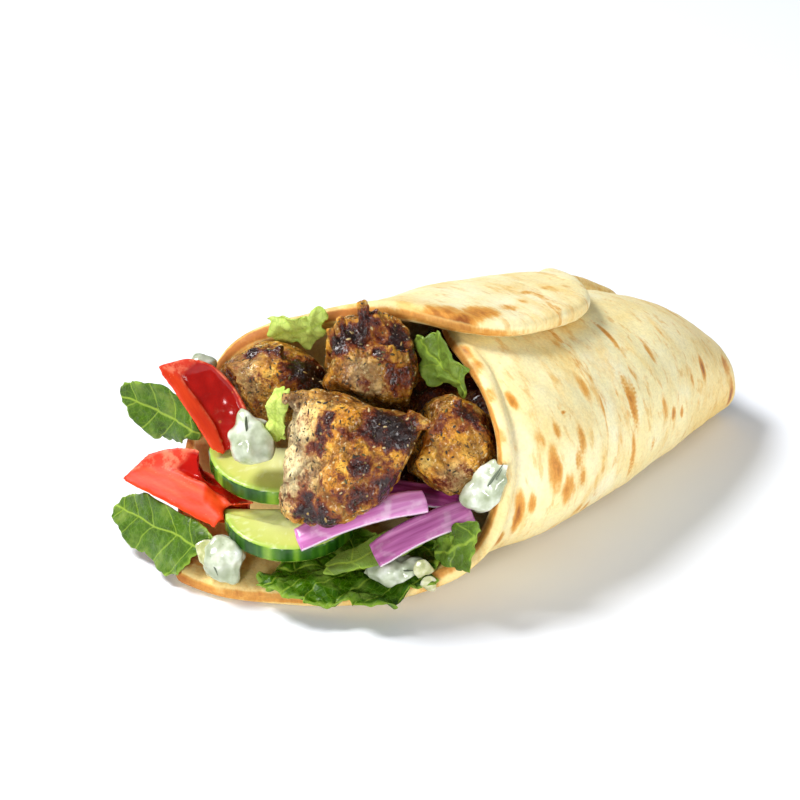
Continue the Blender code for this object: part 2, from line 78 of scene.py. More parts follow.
# How much is left of the height that a chunk has above its top
PRESSED = 0.4
SQUARE_DECIMETRE = 0.01
SRGB_TOE = 10 / 255

# The mouth faces OUTWARD: rightward along it is RIGHT and up along it is UPWARD.
OUTWARD = np.array((-0.585, -0.656, 0.477))
RIGHT = np.array((0.746, -0.666, 0.0))
UPWARD = np.array((0.317, 0.356, 0.879))


def paint(red, green, blue):
    """A colour given in screen values of 0 to 255, as linear light."""
    shares = (red / 255, green / 255, blue / 255)
    return tuple(round(((c + 0.055) / 1.055) ** 2.4, 4) if c > SRGB_TOE else c / 12.92 for c in shares)


# Points, noise and meshes, in millimetres


def spots_of(mesh):
    """The mesh's vertices as an array."""
    spots = np.empty(len(mesh.vertices) * 3)
    mesh.vertices.foreach_get("co", spots)
    return spots.reshape(-1, 3) / MM


def put_spots(mesh, spots):
    """Moves the mesh's vertices."""
    mesh.vertices.foreach_set("co", (spots * MM).ravel())
    mesh.update()


def normals_of(mesh):
    """The mesh's vertex normals as an array."""
    normals = np.empty(len(mesh.vertices) * 3)
    mesh.vertices.foreach_get("normal", normals)
    return normals.reshape(-1, 3)


def mark(mesh, name, values):
    """Stores one value or one vector for each vertex, for the materials to read."""
    values = np.asarray(values, float)
    kind = "FLOAT" if values.ndim == 1 else "FLOAT_VECTOR"
    layer = mesh.attributes.new(name, kind, "POINT")
    layer.data.foreach_set("value" if kind == "FLOAT" else "vector", values.ravel())


def ramp(values, low, high):
    """A smooth step from 0 at low to 1 at high."""
    t = np.clip((values - low) / (high - low), 0.0, 1.0)
    return t * t * (3 - 2 * t)


def shift_of(seed):
    """Where in the noise a seed starts."""
    return (seed * 1.37, -seed * 0.71, seed * 2.13)


def waves(spots, size, seed=0.0, octaves=1):
    """Smooth noise of about -1 to 1 at each spot, with features of the given size."""
    shift = Vector(shift_of(seed))
    if octaves == 1:
        return np.array([noise.noise(Vector(p) + shift) for p in (spots / size).tolist()])
    total = np.zeros(len(spots))
    for octave in range(octaves):
        total += 0.5**octave * waves(spots, size / 2**octave, seed + 5.3 * octave)
    return total


def ridges(spots, size, seed=0.0):
    """Noise that runs along sharp ridges, 0 to 1 at their tops."""
    return 1 - np.abs(waves(spots, size, seed)) * 2.2


def drift(spots, size, seed=0.0):
    """A smooth noise vector at each spot. Without a seed of its own it would differ from run to run."""
    noise.seed_set(DRIFT_SEED)
    shift = Vector(shift_of(seed))
    return np.array([noise.noise_vector(Vector(p) + shift) for p in (spots / size).tolist()])


def patches(spots, list_of):
    """How far each vertex lies within marked patches, each (x, y, z, radius, strength)."""
    total = np.zeros(len(spots))
    for x, y, z, radius, strength in list_of:
        away = np.linalg.norm(spots - (x, y, z), axis=1) / radius
        total = np.maximum(total, strength * np.exp(-(away**3)))
    return total


def main_axes(spots):
    """The directions of a thin piece, the longest first, each with its largest part positive."""
    _, axes = np.linalg.eigh(np.cov((spots - spots.mean(axis=0)).T))
    axes = axes[:, ::-1]
    return axes * np.sign(axes[np.abs(axes).argmax(axis=0), range(3)])


def box_of(corners):
    """The low and high corner of a box, in millimetres."""
    return [np.array(list(corner)) / MM for corner in corners]


def merged(node):
    """A bmesh copy of a construction solid, its loose triangles joined up."""
    body = bmesh.new()
    body.from_mesh(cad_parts[node].data)
    bmesh.ops.remove_doubles(body, verts=body.verts, dist=1e-6)
    return body


def through(body, name, kind, **settings):
    """The mesh that one modifier makes of a body."""
    mesh = bpy.data.meshes.new(name + "_start")
    body.to_mesh(mesh)
    body.free()
    holder = bpy.data.objects.new(name + "_start", mesh)
    bpy.context.scene.collection.objects.link(holder)
    modifier = holder.modifiers.new(kind, kind)
    for key, value in settings.items():
        setattr(modifier, key, value)
    made = bpy.data.meshes.new_from_object(holder.evaluated_get(bpy.context.evaluated_depsgraph_get()))
    bpy.data.objects.remove(holder)
    bpy.data.meshes.remove(mesh)
    made.name = name
    return made


def even_copy(node, cell, rounds, stubs=(), top=None):
    """An evenly fine copy of a solid, its cells that many millimetres wide, with stubs grown onto it.

    What stands above the given top is first pressed down towards it.
    """
    body = merged(node)
    if top is not None:
        for v in body.verts:
            v.co.z = min(v.co.z, ((1 - PRESSED) * top + PRESSED * v.co.z / MM) * MM)
    for start, end, thick, thin in stubs:
        start, end = Vector(start) * MM, Vector(end) * MM
        turn = (end - start).to_track_quat("Z", "Y").to_matrix().to_4x4()
        bmesh.ops.create_cone(body, cap_ends=True, segments=12, radius1=thick * MM, radius2=thin * MM,
                              depth=(end - start).length, matrix=Matrix.Translation((start + end) / 2) @ turn)
    mesh = through(body, node, "REMESH", mode="VOXEL", voxel_size=cell * MM)
    return smoothed(mesh, rounds)


def smoothed(mesh, rounds):
    """The same mesh with its vertices drawn towards their neighbours a few times."""
    body = bmesh.new()
    body.from_mesh(mesh)
    for _ in range(rounds):
        bmesh.ops.smooth_vert(
            body, verts=body.verts, factor=0.5, use_axis_x=True, use_axis_y=True, use_axis_z=True)
    body.to_mesh(mesh)
    body.free()
    mesh.update()
    return mesh


def sheet_copy(node, name, levels):
    """A copy of a thin solid, its triangles paired into quads and rounded."""
    body = merged(node)
    bmesh.ops.join_triangles(body, faces=body.faces, angle_face_threshold=0.9, angle_shape_threshold=1.2)
    return through(body, name, "SUBSURF", levels=levels, render_levels=levels)


def finish_piece(mesh, name, slot, look, *nodes):
    """Makes the mesh a piece that rides on the wrap and stands for its solids."""
    obj = bpy.data.objects.new(name, mesh)
    bpy.context.scene.collection.objects.link(obj)
    mesh.materials.clear()
    mesh.materials.append(look)
    mesh.shade_smooth()
    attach(obj, "root")
    if nodes:
        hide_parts(*nodes)
    return obj


# Materials


class Recipe:
    """Nodes of one material or one node group, joined by short calls."""

    def __init__(self, tree):
        self.tree = tree

    def add(self, kind, **settings):
        node = self.tree.nodes.new(kind)
        for key, value in settings.items():
            setattr(node, key, value)
        return node

    def feed(self, socket, value):
        if isinstance(value, bpy.types.NodeSocket):
            self.tree.links.new(value, socket)
        elif value is not None:
            if socket.type == "RGBA" and len(value) == 3:
                value = (*value, 1.0)
            socket.default_value = value

    def place(self):
        return self.add("ShaderNodeTexCoord").outputs["Object"]

    def marked(self, name, vector=False):
        node = self.add("ShaderNodeAttribute", attribute_name=name)
        return node.outputs["Vector" if vector else "Fac"]

    def stretched(self, vector, scale, turn=(0, 0, 0)):
        node = self.add("ShaderNodeMapping")
        self.feed(node.inputs["Vector"], vector)
        node.inputs["Scale"].default_value = scale
        node.inputs["Rotation"].default_value = turn
        return node.outputs["Vector"]

    def noise(self, vector, size, detail=2.0, roughness=0.5, distortion=0.0):
        node = self.add("ShaderNodeTexNoise")
        self.feed(node.inputs["Vector"], vector)
        self.feed(node.inputs["Scale"], size if isinstance(size, bpy.types.NodeSocket) else 1000.0 / size)
        for key, value in (("Detail", detail), ("Roughness", roughness), ("Distortion", distortion)):
            node.inputs[key].default_value = value
        return node.outputs["Fac"]

    def cells(self, vector, size, feature="F1"):
        """The distance from cell middles, or from cell edges."""
        node = self.add("ShaderNodeTexVoronoi", feature=feature)
        self.feed(node.inputs["Vector"], vector)
        node.inputs["Scale"].default_value = 1000.0 / size
        return node.outputs["Distance"]

    def sum(self, *values, how="ADD", clamp=False):
        """The values added up, or joined in another way, one after the other."""
        result = values[0]
        for value in values[1:]:
            node = self.add("ShaderNodeMath", operation=how, use_clamp=clamp)
            self.feed(node.inputs[0], result)
            self.feed(node.inputs[1], value)
            result = node.outputs[0]
        return result

    def times(self, *values):
        return self.sum(*values, how="MULTIPLY")

    def span(self, value, low, high, to_low=0.0, to_high=1.0):
        """A smooth step from one value to another as the input goes from low to high."""
        node = self.add("ShaderNodeMapRange", interpolation_type="SMOOTHSTEP")
        self.feed(node.inputs["Value"], value)
        for key, number in (("From Min", low), ("From Max", high), ("To Min", to_low), ("To Max", to_high)):
            self.feed(node.inputs[key], number)
        return node.outputs["Result"]

    def scale_of(self, value, stops):
        """Colours along a value of 0 to 1. A stop is a place and a colour, or a place and three screen values."""
        node = self.add("ShaderNodeValToRGB")
        self.feed(node.inputs["Fac"], value)
        elements = node.color_ramp.elements
        while len(elements) < len(stops):
            elements.new(0.5)
        for element, (at, *colour) in zip(elements, stops):
            element.position = at
            element.color = (*(paint(*colour) if len(colour) == 3 else colour[0]), 1.0)
        return node.outputs["Color"]

    def over(self, below, above, share, how="MIX"):
        """Lays one colour over another."""
        node = self.add("ShaderNodeMix", data_type="RGBA", blend_type=how, clamp_factor=True)
        self.feed(node.inputs[0], share)
        self.feed(node.inputs[6], below)
        self.feed(node.inputs[7], above)
        return node.outputs[2]

    def bump(self, height, strength, depth):
        node = self.add("ShaderNodeBump")
        node.inputs["Strength"].default_value = strength
        node.inputs["Distance"].default_value = depth * MM
        self.feed(node.inputs["Height"], height)
        return node.outputs["Normal"]

    def group(self, tree, **values):
        node = self.add("ShaderNodeGroup", node_tree=tree)
        for key, value in values.items():
            self.feed(node.inputs[key.replace("_", " ")], value)
        return node.outputs


def material(name):
    """A new material and its recipe, with only the shader and its output in it."""
    made = bpy.data.materials.new(name)
    made.use_nodes = True
    recipe = Recipe(made.node_tree)
    shader = made.node_tree.nodes["Principled BSDF"]
    return made, recipe, shader


def set_shader(recipe, shader, colour, roughness, normal=None, soft=None, **others):
    """Feeds the shader. Soft is the depth that each colour of light reaches under the surface, and its scale."""
    recipe.feed(shader.inputs["Base Color"], colour)
    recipe.feed(shader.inputs["Roughness"], roughness)
    recipe.feed(shader.inputs["Normal"], normal)
    for key, value in others.items():
        recipe.feed(shader.inputs[key.replace("_", " ")], value)
    if soft:
        shader.inputs["Subsurface Radius"].default_value = soft[:3]
        shader.inputs["Subsurface Scale"].default_value = soft[3]


def new_group(name, inputs, output):
    """A node group with the given inputs and one number as its output."""
    tree = bpy.data.node_groups.new(name, "ShaderNodeTree")
    for key, kind, default in inputs:
        socket = tree.interface.new_socket(key, in_out="INPUT", socket_type=kind)
        if default is not None:
            socket.default_value = default
    tree.interface.new_socket(output, in_out="OUTPUT", socket_type="NodeSocketFloat")
    recipe = Recipe(tree)
    return tree, recipe, recipe.add("NodeGroupInput").outputs, recipe.add("NodeGroupOutput").inputs


def blotch_group():
    """Uneven patches: a mask that covers the given share of the surface, with ragged soft edges."""
    if "Blotches" in bpy.data.node_groups:
        return bpy.data.node_groups["Blotches"]
    tree, recipe, given, result = new_group(
        "Blotches",
        (("Vector", "NodeSocketVector", None), ("Scale", "NodeSocketFloat", 100.0),
         ("From", "NodeSocketFloat", 0.5), ("To", "NodeSocketFloat", 0.65)),
        "Mask",
    )
    value = recipe.noise(given["Vector"], given["Scale"], 5.0, 0.62, 0.3)
    recipe.feed(result["Mask"], recipe.span(value, given["From"], given["To"]))
    return tree


def grain_group():
    """Fine relief with two sizes of lump."""
    if "Fine grain" in bpy.data.node_groups:
        return bpy.data.node_groups["Fine grain"]
    tree, recipe, given, result = new_group(
        "Fine grain",
        (("Vector", "NodeSocketVector", None), ("Coarse", "NodeSocketFloat", 400.0),
         ("Fine", "NodeSocketFloat", 1500.0)),
        "Height",
    )
    coarse = recipe.noise(given["Vector"], given["Coarse"], 3.0, 0.6)
    fine = recipe.noise(given["Vector"], given["Fine"], 4.0, 0.7)
    recipe.feed(result["Height"], recipe.sum(coarse, recipe.times(fine, 0.45)))
    return tree


def blotches(recipe, vector, size, low, high):
    return recipe.group(blotch_group(), Vector=vector, Scale=1000.0 / size, From=low, To=high)["Mask"]


def grain(recipe, vector, coarse, fine):
    return recipe.group(grain_group(), Vector=vector, Coarse=1000.0 / coarse, Fine=1000.0 / fine)["Height"]


# Flatbread

# Toasted spots: place, half length round the roll, half width along it, strength
TOAST = (
    (-18.7, -27.6, 64, 3.2, 1.8, 0.75), (-19.7, -34.7, 62.6, 3.4, 1.7, 0.6), (-16.9, -47.2, 55.5, 3.5, 1.6, 0.7),
    (-2.3, -53, 48, 1.2, 0.8, 0.9), (-7.3, -55.9, 45.5, 3, 1.6, 0.5), (1.8, -57, 39.7, 5, 1.7, 0.62),
    (-10.6, -59.5, 35.2, 7.5, 2.6, 0.78), (-0.5, -58.4, 34.6, 4.5, 1.8, 0.6), (-5.7, -59.7, 27.1, 5.5, 2.8, 0.7),
    (0.7, -59.2, 28.2, 4, 1.5, 0.55), (-23.4, -57.8, 24.4, 7.5, 1.9, 0.95), (-19, -59.2, 27, 4.4, 1.5, 0.6),
    (2.7, -55.4, 14.6, 4, 1.6, 0.5), (29, -50.2, 39.1, 10, 1.5, 0.72), (26.9, -53.3, 23.5, 9, 1.2, 0.62),
    (31.5, -47.9, 41.7, 4, 1.1, 0.6), (45.6, -48.2, 30.9, 5, 1.5, 0.6), (50.6, -47.4, 27.2, 2.4, 1.2, 0.95),
    (56, -45.8, 25.3, 2.2, 0.9, 0.8), (73.8, -37.3, 31.3, 4.4, 1.3, 0.92), (65.4, -40.9, 32.1, 3.6, 1, 0.6),
    (48.5, -37, 46.4, 5.5, 1.3, 0.6), (36, -31.7, 52.7, 8, 1.1, 0.6), (11, -47.4, 49.7, 6, 1.8, 0.5),
    (-28.6, -55.7, 16.7, 3.5, 2, 0.7), (8, -54, 12, 4, 2, 0.55), (92.4, -31.1, 24, 4, 2.4, 0.7),
    (94, -32.4, 13, 5.5, 1.8, 0.95), (84, -12, 46, 9, 2.2, 0.75), (78, -5, 47.5, 5, 2, 0.7),
    (20, -52, 32, 4, 1.3, 0.4), (-14, -55, 44, 3.5, 2, 0.5), (-30, -54, 40, 3, 3.2, 0.7),
    (-33, -52, 33, 3, 2.6, 0.65), (60, -30, 44, 3, 1, 0.45), (38, -52, 22, 4, 1.2, 0.45),
    (68, -43, 22, 3.4, 1, 0.5), (-36, -56, 12, 4, 4, 0.5),
    # The flap's strongly browned near edge, and its lighter top
    (-21.6, -19.5, 72, 6, 9, 0.8), (-17.4, -24.6, 71, 4.5, 8, 0.95), (-8.1, -22.8, 71, 5, 7, 0.8),
    (-27, -16, 73, 4, 5, 0.65), (4, -22, 69, 3, 4, 0.5), (12, -20, 68.5, 2.4, 2, 0.6),
    (18, -14, 66, 1.8, 2.4, 0.55), (28, -13, 65, 2, 3.2, 0.5), (34, -15, 62, 3, 1.6, 0.45),
    # The far edge's thin toasted band at the mouth
    (-57.3, 28, 57, 7, 7, 0.7), (-48, 16, 66, 6, 7, 0.6), (-38, 4, 70, 5, 7, 0.55), (-68, 34, 44, 6, 6, 0.65),
    # The near edge at the mouth
    (-27.5, -52, 48, 3.4, 3, 0.65), (-24, -44, 57, 3, 3, 0.6), (-22, -36, 62.5, 3, 2.6, 0.6),
    (-36, -52, 25, 3.4, 3, 0.6), (-40, -54, 16, 3, 3, 0.5),
    # The lip that rests on the floor
    (-88, -16, 3, 8, 5, 0.5), (-70, -42, 4, 8, 5, 0.45), (-52, -54, 6, 6, 5, 0.6), (-84, 8, 3, 6, 4, 0.5),
)
# More toasted spots on the side that the table doesn't list
FAR_SPOTS = 46
# Creases in the bread's outside: ends, width and depth
CREASES = (
    ((-33, -46, 55), (-22, -56, 46), 2.2, 0.7), ((-22, -56, 46), (-20, -60, 34), 2.4, 0.6),
    ((24, -34, 57), (42, -38, 48), 1.4, 0.5), ((12, -40, 58), (24, -49, 46), 1.6, 0.5),
    ((0, -36, 62), (14, -46, 52), 1.6, 0.45), ((-10, -40, 61), (2, -52, 50), 1.8, 0.4),
    ((20, -30, 61), (34, -36, 53), 1.2, 0.4), ((-4, -58, 40), (2, -60, 26), 2.2, 0.35),
    ((-14, -59, 38), (-12, -60, 22), 2.0, 0.35), ((6, -44, 56), (10, -52, 46), 1.4, 0.35),
)
# The roll's usual radius, and its middle line: x, y and z
ROLL_RADIUS = 36
ROLL_LINE = ((-100, -11, 38), (-60, -13, 33), (0, -14, 28), (45, -12, 24), (75, -10, 19), (100, -8, 10))


def crease_depth(spots):
    """How far the creases sink each spot."""
    total = np.zeros(len(spots))
    for start, end, width, depth in CREASES:
        a, b = np.array(start, float), np.array(end, float)
        t = np.clip((spots - a) @ (b - a) / ((b - a) @ (b - a)), 0, 1)
        away = np.linalg.norm(spots - a - t[:, None] * (b - a), axis=1)
        fade = np.sin(math.pi * np.clip(t * 0.9 + 0.05, 0, 1))
        total = np.maximum(total, depth * fade * np.exp(-((away / width) ** 2)))
    return total


def make_bread(settings):
    mesh = sheet_copy("flatbread", "bread", 2)
    body = bmesh.new()
    body.from_mesh(mesh)
    line = np.array(ROLL_LINE, float)

    def outside(point, normal):
        y, z = (np.interp(point.x / MM, line[:, 0], line[:, k]) * MM for k in (1, 2))
        return (point - Vector((point.x, y, z))).dot(normal) > 0

    outer = [f for f in body.faces if outside(f.calc_center_median(), f.normal)]
    edges = {e for f in outer for e in f.edges}
    bmesh.ops.subdivide_edges(body, edges=list(edges), cuts=1, use_grid_fill=True)
    body.to_mesh(mesh)
    body.free()
    smoothed(mesh, 2)
    spots, normals = spots_of(mesh), normals_of(mesh)
    centre = np.column_stack([spots[:, 0]] + [np.interp(spots[:, 0], line[:, 0], line[:, k]) for k in (1, 2)])
    away = spots - centre
    outward = np.sign(np.einsum("ij,ij->i", away, normals))
    turn = np.arctan2(away[:, 1], away[:, 2])
    roll = np.column_stack([spots[:, 0], turn * ROLL_RADIUS, outward * 4])
    streaky = roll * (1, 0.45, 1)
    lift = 0.55 * waves(spots, 24, 4) + 0.3 * waves(streaky, 9, 5)
    lift += 0.14 * waves(streaky, 3.6, 6) + 0.05 * waves(spots, 1.7, 7)
    lift = lift * settings.relief - crease_depth(spots) * (outward > 0)
    toast = np.zeros(len(spots))
    dice = np.random.default_rng(4)
    far_side = np.flatnonzero((outward > 0) & (spots[:, 1] > 6) & (spots[:, 2] > 8) & (spots[:, 0] > -70))
    others = [(*spots[k], dice.uniform(2.5, 8), dice.uniform(1.2, 2.4), dice.uniform(0.45, 0.8))
              for k in dice.choice(far_side, FAR_SPOTS)]
    for x, y, z, length, width, strength in (*TOAST, *others):
        off = spots - (x, y, z)
        across = np.sqrt(off[:, 1] ** 2 + off[:, 2] ** 2)
        far = (off[:, 0] / width) ** 2 + (across / length) ** 2
        toast = np.maximum(toast, strength * np.exp(-(far**1.3)))
    toast *= np.where(outward > 0, 1.0, 0.6)
    lift = np.clip(lift - 0.12 * toast, -1.2, 0.9)
    floor_share = ramp(spots[:, 2], 0.2, 2.5)
    spots = spots + normals * (lift * floor_share)[:, None]
    low, high = box_of(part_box("flatbread"))
    spots = np.clip(spots, low, high + (0.4, 0.4, 0.6))
    put_spots(mesh, spots)
    mark(mesh, "roll", roll * MM)
    mark(mesh, "toast", toast * settings.toasting)
    facing = np.abs(np.einsum("ij,ij->i", away[:, 1:], normals[:, 1:]))
    rim = 1 - ramp(facing / np.maximum(np.linalg.norm(away[:, 1:], axis=1), 1), 0.35, 0.8)
    mark(mesh, "rim", rim * (0.66 + 0.3 * ramp(spots[:, 1], -8, 10)) * (1 - 0.65 * ramp(spots[:, 0], -15, 10)))
    tail, belly = ramp(spots[:, 0], 45, 100), 1 - ramp(spots[:, 2], 4, 24)
    mouth = 1 - ramp(spots[:, 0] - 0.3 * spots[:, 2], -46, -34)
    mark(mesh, "gold", np.clip(0.7 * tail + 0.6 * belly + 0.8 * mouth, 0, 1))
    finish_piece(mesh, "bread_roll", "bread", bread_material(settings), "flatbread")


def bread_material(settings):
    made, r, shader = material("toasted flatbread")
    place, roll = r.place(), r.marked("roll", True)
    streaky = r.stretched(roll, (1, 0.4, 1))
    base = r.scale_of(r.noise(place, 20, 4, 0.6), (
        (0.3, 250, 226, 156), (0.5, settings.crumb), (0.72, 255, 247, 210)))
    colour = r.over(base, paint(250, 208, 116), r.times(r.marked("gold"), 0.65))
    warm = blotches(r, streaky, 9, 0.48, 0.7)
    colour = r.over(colour, paint(242, 204, 122), r.times(warm, 0.65))
    freckle = blotches(r, streaky, 3.4, 0.53, 0.68)
    colour = r.over(colour, paint(232, 182, 96), r.times(freckle, 0.6))
    wild = r.times(blotches(r, r.stretched(roll, (1, 0.3, 1), (0, 0, 0.2)), 11, 0.58, 0.72), 0.42)
    ragged = r.sum(r.noise(streaky, 2.4, 5, 0.7), -0.5)
    toast = r.sum(r.marked("toast"), wild, how="MAXIMUM")
    toast = r.sum(toast, r.times(ragged, r.span(toast, 0.05, 0.4, 0.0, 1.1)), clamp=True)
    colour = r.over(colour, r.scale_of(toast, (
        (0.1, 246, 210, 134), (0.35, settings.golden), (0.65, 216, 146, 60), (0.97, 150, 84, 34))),
        r.span(toast, 0.06, 0.5))
    crisp = r.sum(r.marked("rim"), r.times(ragged, 0.9), clamp=True)
    edge = r.scale_of(crisp, ((0.3, 240, 200, 120), (0.6, 220, 156, 72), (0.9, 184, 112, 44)))
    colour = r.over(colour, edge, r.span(crisp, 0.1, 0.6))
    meal = r.span(r.noise(place, 0.9, 3, 0.6), 0.35, 0.65, 0.9, 1.0)
    shade = r.add("ShaderNodeCombineColor")
    for key in ("Red", "Green", "Blue"):
        r.feed(shade.inputs[key], meal)
    colour = r.over(colour, shade.outputs[0], 1.0, "MULTIPLY")
    height = grain(r, place, 2.2, 0.7)
    set_shader(r, shader, colour, r.span(toast, 0, 0.9, 0.66, 0.5), r.bump(height, 0.35, 0.35),
               Specular_IOR_Level=0.3, Subsurface_Weight=0.08, soft=(0.004, 0.0025, 0.0012, 0.5))
    return made


# Chicken

# Each chunk: the grain's direction, relief, char patches, and pale patches that stand for paler meat together with
# painted light on the chunk's lit left side
CHUNKS = {
    "chicken_front": ((0.5, 0.35, -0.75), 1.0, (
        (-57, -41, 58, 8, 1.0), (-54, -44, 56, 5, 0.95), (-50, -46, 52, 7, 0.8), (-70.2, -29, 57, 3, 0.8),
        (-72.5, -28.5, 53, 3.4, 0.7), (-80, -32, 36, 6, 0.95), (-78.5, -37.5, 34, 5, 1.0),
        (-68, -41.5, 49.8, 4, 0.75), (-71.8, -43.8, 41.8, 5, 0.6), (-62.9, -46, 43, 6, 0.85),
        (-58, -46, 36, 8, 0.85), (-65, -42, 60, 3, 0.5)),
        ((-73, -17, 52, 9, 1.0), (-78, -22, 43, 10, 1.0), (-74, -24, 58, 5, 0.6))),
    "chicken_right": ((0.6, -0.5, -0.6), 0.8, (
        (-30, -43.5, 54, 5, 0.7), (-26, -45, 49, 5, 0.5), (-37.7, -48, 44.6, 1.5, 1.0), (-38, -40, 52, 4, 0.5),
        (-20, -46, 44, 6, 0.6), (-42, -46, 36, 3.5, 0.4)),
        ((-40, -49, 38, 5, 0.5),)),
    "chicken_middle": ((0.2, 0.2, -1.0), 1.1, (
        (-46, -13, 73, 6, 1.0), (-51, -11, 69, 4, 0.9), (-42.5, -21.4, 68, 3.2, 0.85), (-42, -24, 62, 3, 0.8),
        (-41, -25, 57, 3, 0.75), (-40, -11, 77, 3, 0.75), (-36, -19, 71, 4.4, 0.9), (-53, -6, 62, 4, 0.8),
        (-37, -25, 60, 5, 0.6), (-34, -21, 64, 5, 0.75)),
        ((-50, -20, 64, 5, 0.5), (-49, -22, 58, 5, 0.6))),
    "chicken_left": ((0.7, -0.5, -0.3), 0.9, (
        (-62, 15, 61, 4, 0.8), (-58, 10, 61, 4, 0.9), (-54, 2, 58, 6, 1.0), (-50, 0, 52, 7, 0.95),
        (-70, 20, 51, 4, 0.5), (-66, 4, 56, 2.4, 0.5)),
        ((-66, 12, 56, 5, 0.6),)),
}
# Torn ends and strips that stand out of a chunk: start, end and the two radii
STUBS = {
    "chicken_middle": (
        ((-41.5, -13.5, 69), (-41.8, -10, 80), 2.8, 1.5), ((-36, -18, 68), (-39.6, -12.5, 77), 3.0, 1.8),
        ((-47.5, -11, 67), (-48.2, -8, 76), 1.5, 0.9), ((-50, -10, 65), (-51.5, -8, 73.5), 1.6, 0.9),
        ((-33, -17, 67), (-37, -13, 74.5), 2.6, 1.7), ((-42, -23.5, 57), (-41.5, -20.5, 70), 1.8, 2.4),
        ((-37, -25, 56), (-36, -22, 68), 1.5, 2.2)),
    "chicken_front": (
        ((-68, -14, 58), (-71.5, -11.5, 59.5), 3.4, 1.6), ((-50, -39, 56), (-44.5, -43.5, 54.5), 4.2, 1.6),
        ((-75, -31, 34), (-79, -31, 30.5), 3.6, 1.6)),
    "chicken_right": (((-40, -33, 42), (-44, -31.5, 42), 2.8, 1.0), ((-33, -40, 55), (-31, -40, 58), 2.6, 1.6)),
    "chicken_left": (((-55, 3, 56), (-50, -3, 50), 3.0, 2.4), ((-62, 14, 60), (-57, 7, 62), 1.6, 2.2)),
}
# Chunks pressed down above this height, so that their torn ends stand out
TOPS = {"chicken_middle": 69.0}
# Half sizes of the flecks of herb
FLECK_LENGTHS = (0.35, 1.0)
FLECK_WIDTH = 0.34
FLECK_THICKNESS = 0.2


def bundles(spots, along, size, seed):
    """Torn bundles of meat, long along the grain: how near each spot is to a seam, and its bundle's own height."""
    along = np.array(along, float) / np.linalg.norm(along)
    pulled = (spots - np.outer(spots @ along, along) * 0.55) / size + shift_of(seed)
    seams, heights = np.empty(len(spots)), np.empty(len(spots))
    for k, p in enumerate(pulled.tolist()):
        away, middles = noise.voronoi(p)
        seams[k] = away[1] - away[0]
        heights[k] = noise.noise(middles[0] * 7.31)
    return np.exp(-((seams / 0.17) ** 2)), heights


def fibres(spots, along, seed):
    """Relief of meat fibres: fine across the grain, long along it."""
    along = np.array(along, float) / np.linalg.norm(along)
    pulled = spots - np.outer(spots @ along, along) * 0.84
    return waves(pulled, 2.2, seed, 2)


def make_chicken(settings):
    cooked = chicken_material(settings)
    chunks = []
    for number, (node, (along, rough, char_at, pale_and_lit_at)) in enumerate(CHUNKS.items()):
        seed = 11.0 + 7 * number
        mesh = even_copy(node, cell=0.42, rounds=4, stubs=STUBS[node], top=TOPS.get(node))
        spots, normals = spots_of(mesh), normals_of(mesh)
        bent = spots + 2.2 * drift(spots, 6, seed)
        seam, high = bundles(bent, along, 9, seed)
        small_seam, small_high = bundles(bent, along, 4, seed + 1)
        lumps = 0.5 * waves(spots, 9, seed) + 1.6 * high + 0.4 * small_high
        strands = 0.3 * fibres(spots + 0.8 * drift(spots, 6, seed), along, seed + 3)
        crumbs = 0.12 * waves(spots, 1.4, seed + 4) + 0.07 * waves(spots, 0.8, seed + 5)
        char = patches(spots + 2.6 * drift(spots, 7, seed + 5) + 2.2 * drift(spots, 2.8, seed + 7), char_at)
        pale = patches(spots + 1.5 * drift(spots, 5, seed + 6), pale_and_lit_at)
        lift = lumps - 0.6 * seam - 0.2 * small_seam + strands + crumbs
        lift = rough * settings.relief * lift + char * (0.5 * waves(spots, 1.7, seed + 8) - 0.2)
        spots = spots + normals * np.clip(lift, -2.2, 1.5)[:, None]
        put_spots(mesh, np.minimum(spots, box_of(SOLID_BOX)[1] + 1.5))
        mark(mesh, "char", char * settings.charring)
        # The pale mark holds paler meat together with painted light on the chunks' left sides.
        mark(mesh, "pale", pale)
        # The seam mark is painted shade: it grows in the seams between bundles and in low spots, and the material
        # darkens the meat there.
        mark(mesh, "seam", np.clip(0.9 * seam + 0.6 * small_seam - 0.5 * lumps, 0, 1))
        chunks.append(finish_piece(mesh, node + "_chunk", "chicken", cooked, node))
    mesh = even_copy("meat_core", cell=1.1, rounds=6)
    spots, normals = spots_of(mesh), normals_of(mesh)
    lift = 1.4 * waves(spots, 11, 60, 2) + 0.7 * ridges(spots, 7, 61) - 1.2
    put_spots(mesh, spots + normals * np.clip(lift, -3.5, 0.2)[:, None])
    # Mostly char-dark all over: real char patches together with painted shade of the heap lying deep in the mouth.
    mark(mesh, "char", np.clip(0.55 + 0.5 * waves(spots, 9, 62), 0, 1))
    mark(mesh, "pale", np.zeros(len(spots)))
    # On the heap the seam mark is painted shade in its deepest hollows.
    mark(mesh, "seam", ramp(lift, -0.8, -2))
    finish_piece(mesh, "meat_heap", "chicken", cooked, "meat_core")
    herb = fleck_material("herbs and pepper", (
        (0.0, 24, 18, 14), (0.35, 58, 44, 20), (0.6, 84, 84, 34), (0.8, 196, 160, 88), (1.0, 240, 216, 156)))
    sprinkle("chicken_herbs", "chicken", herb, chunks, settings.herbs, seed=5)


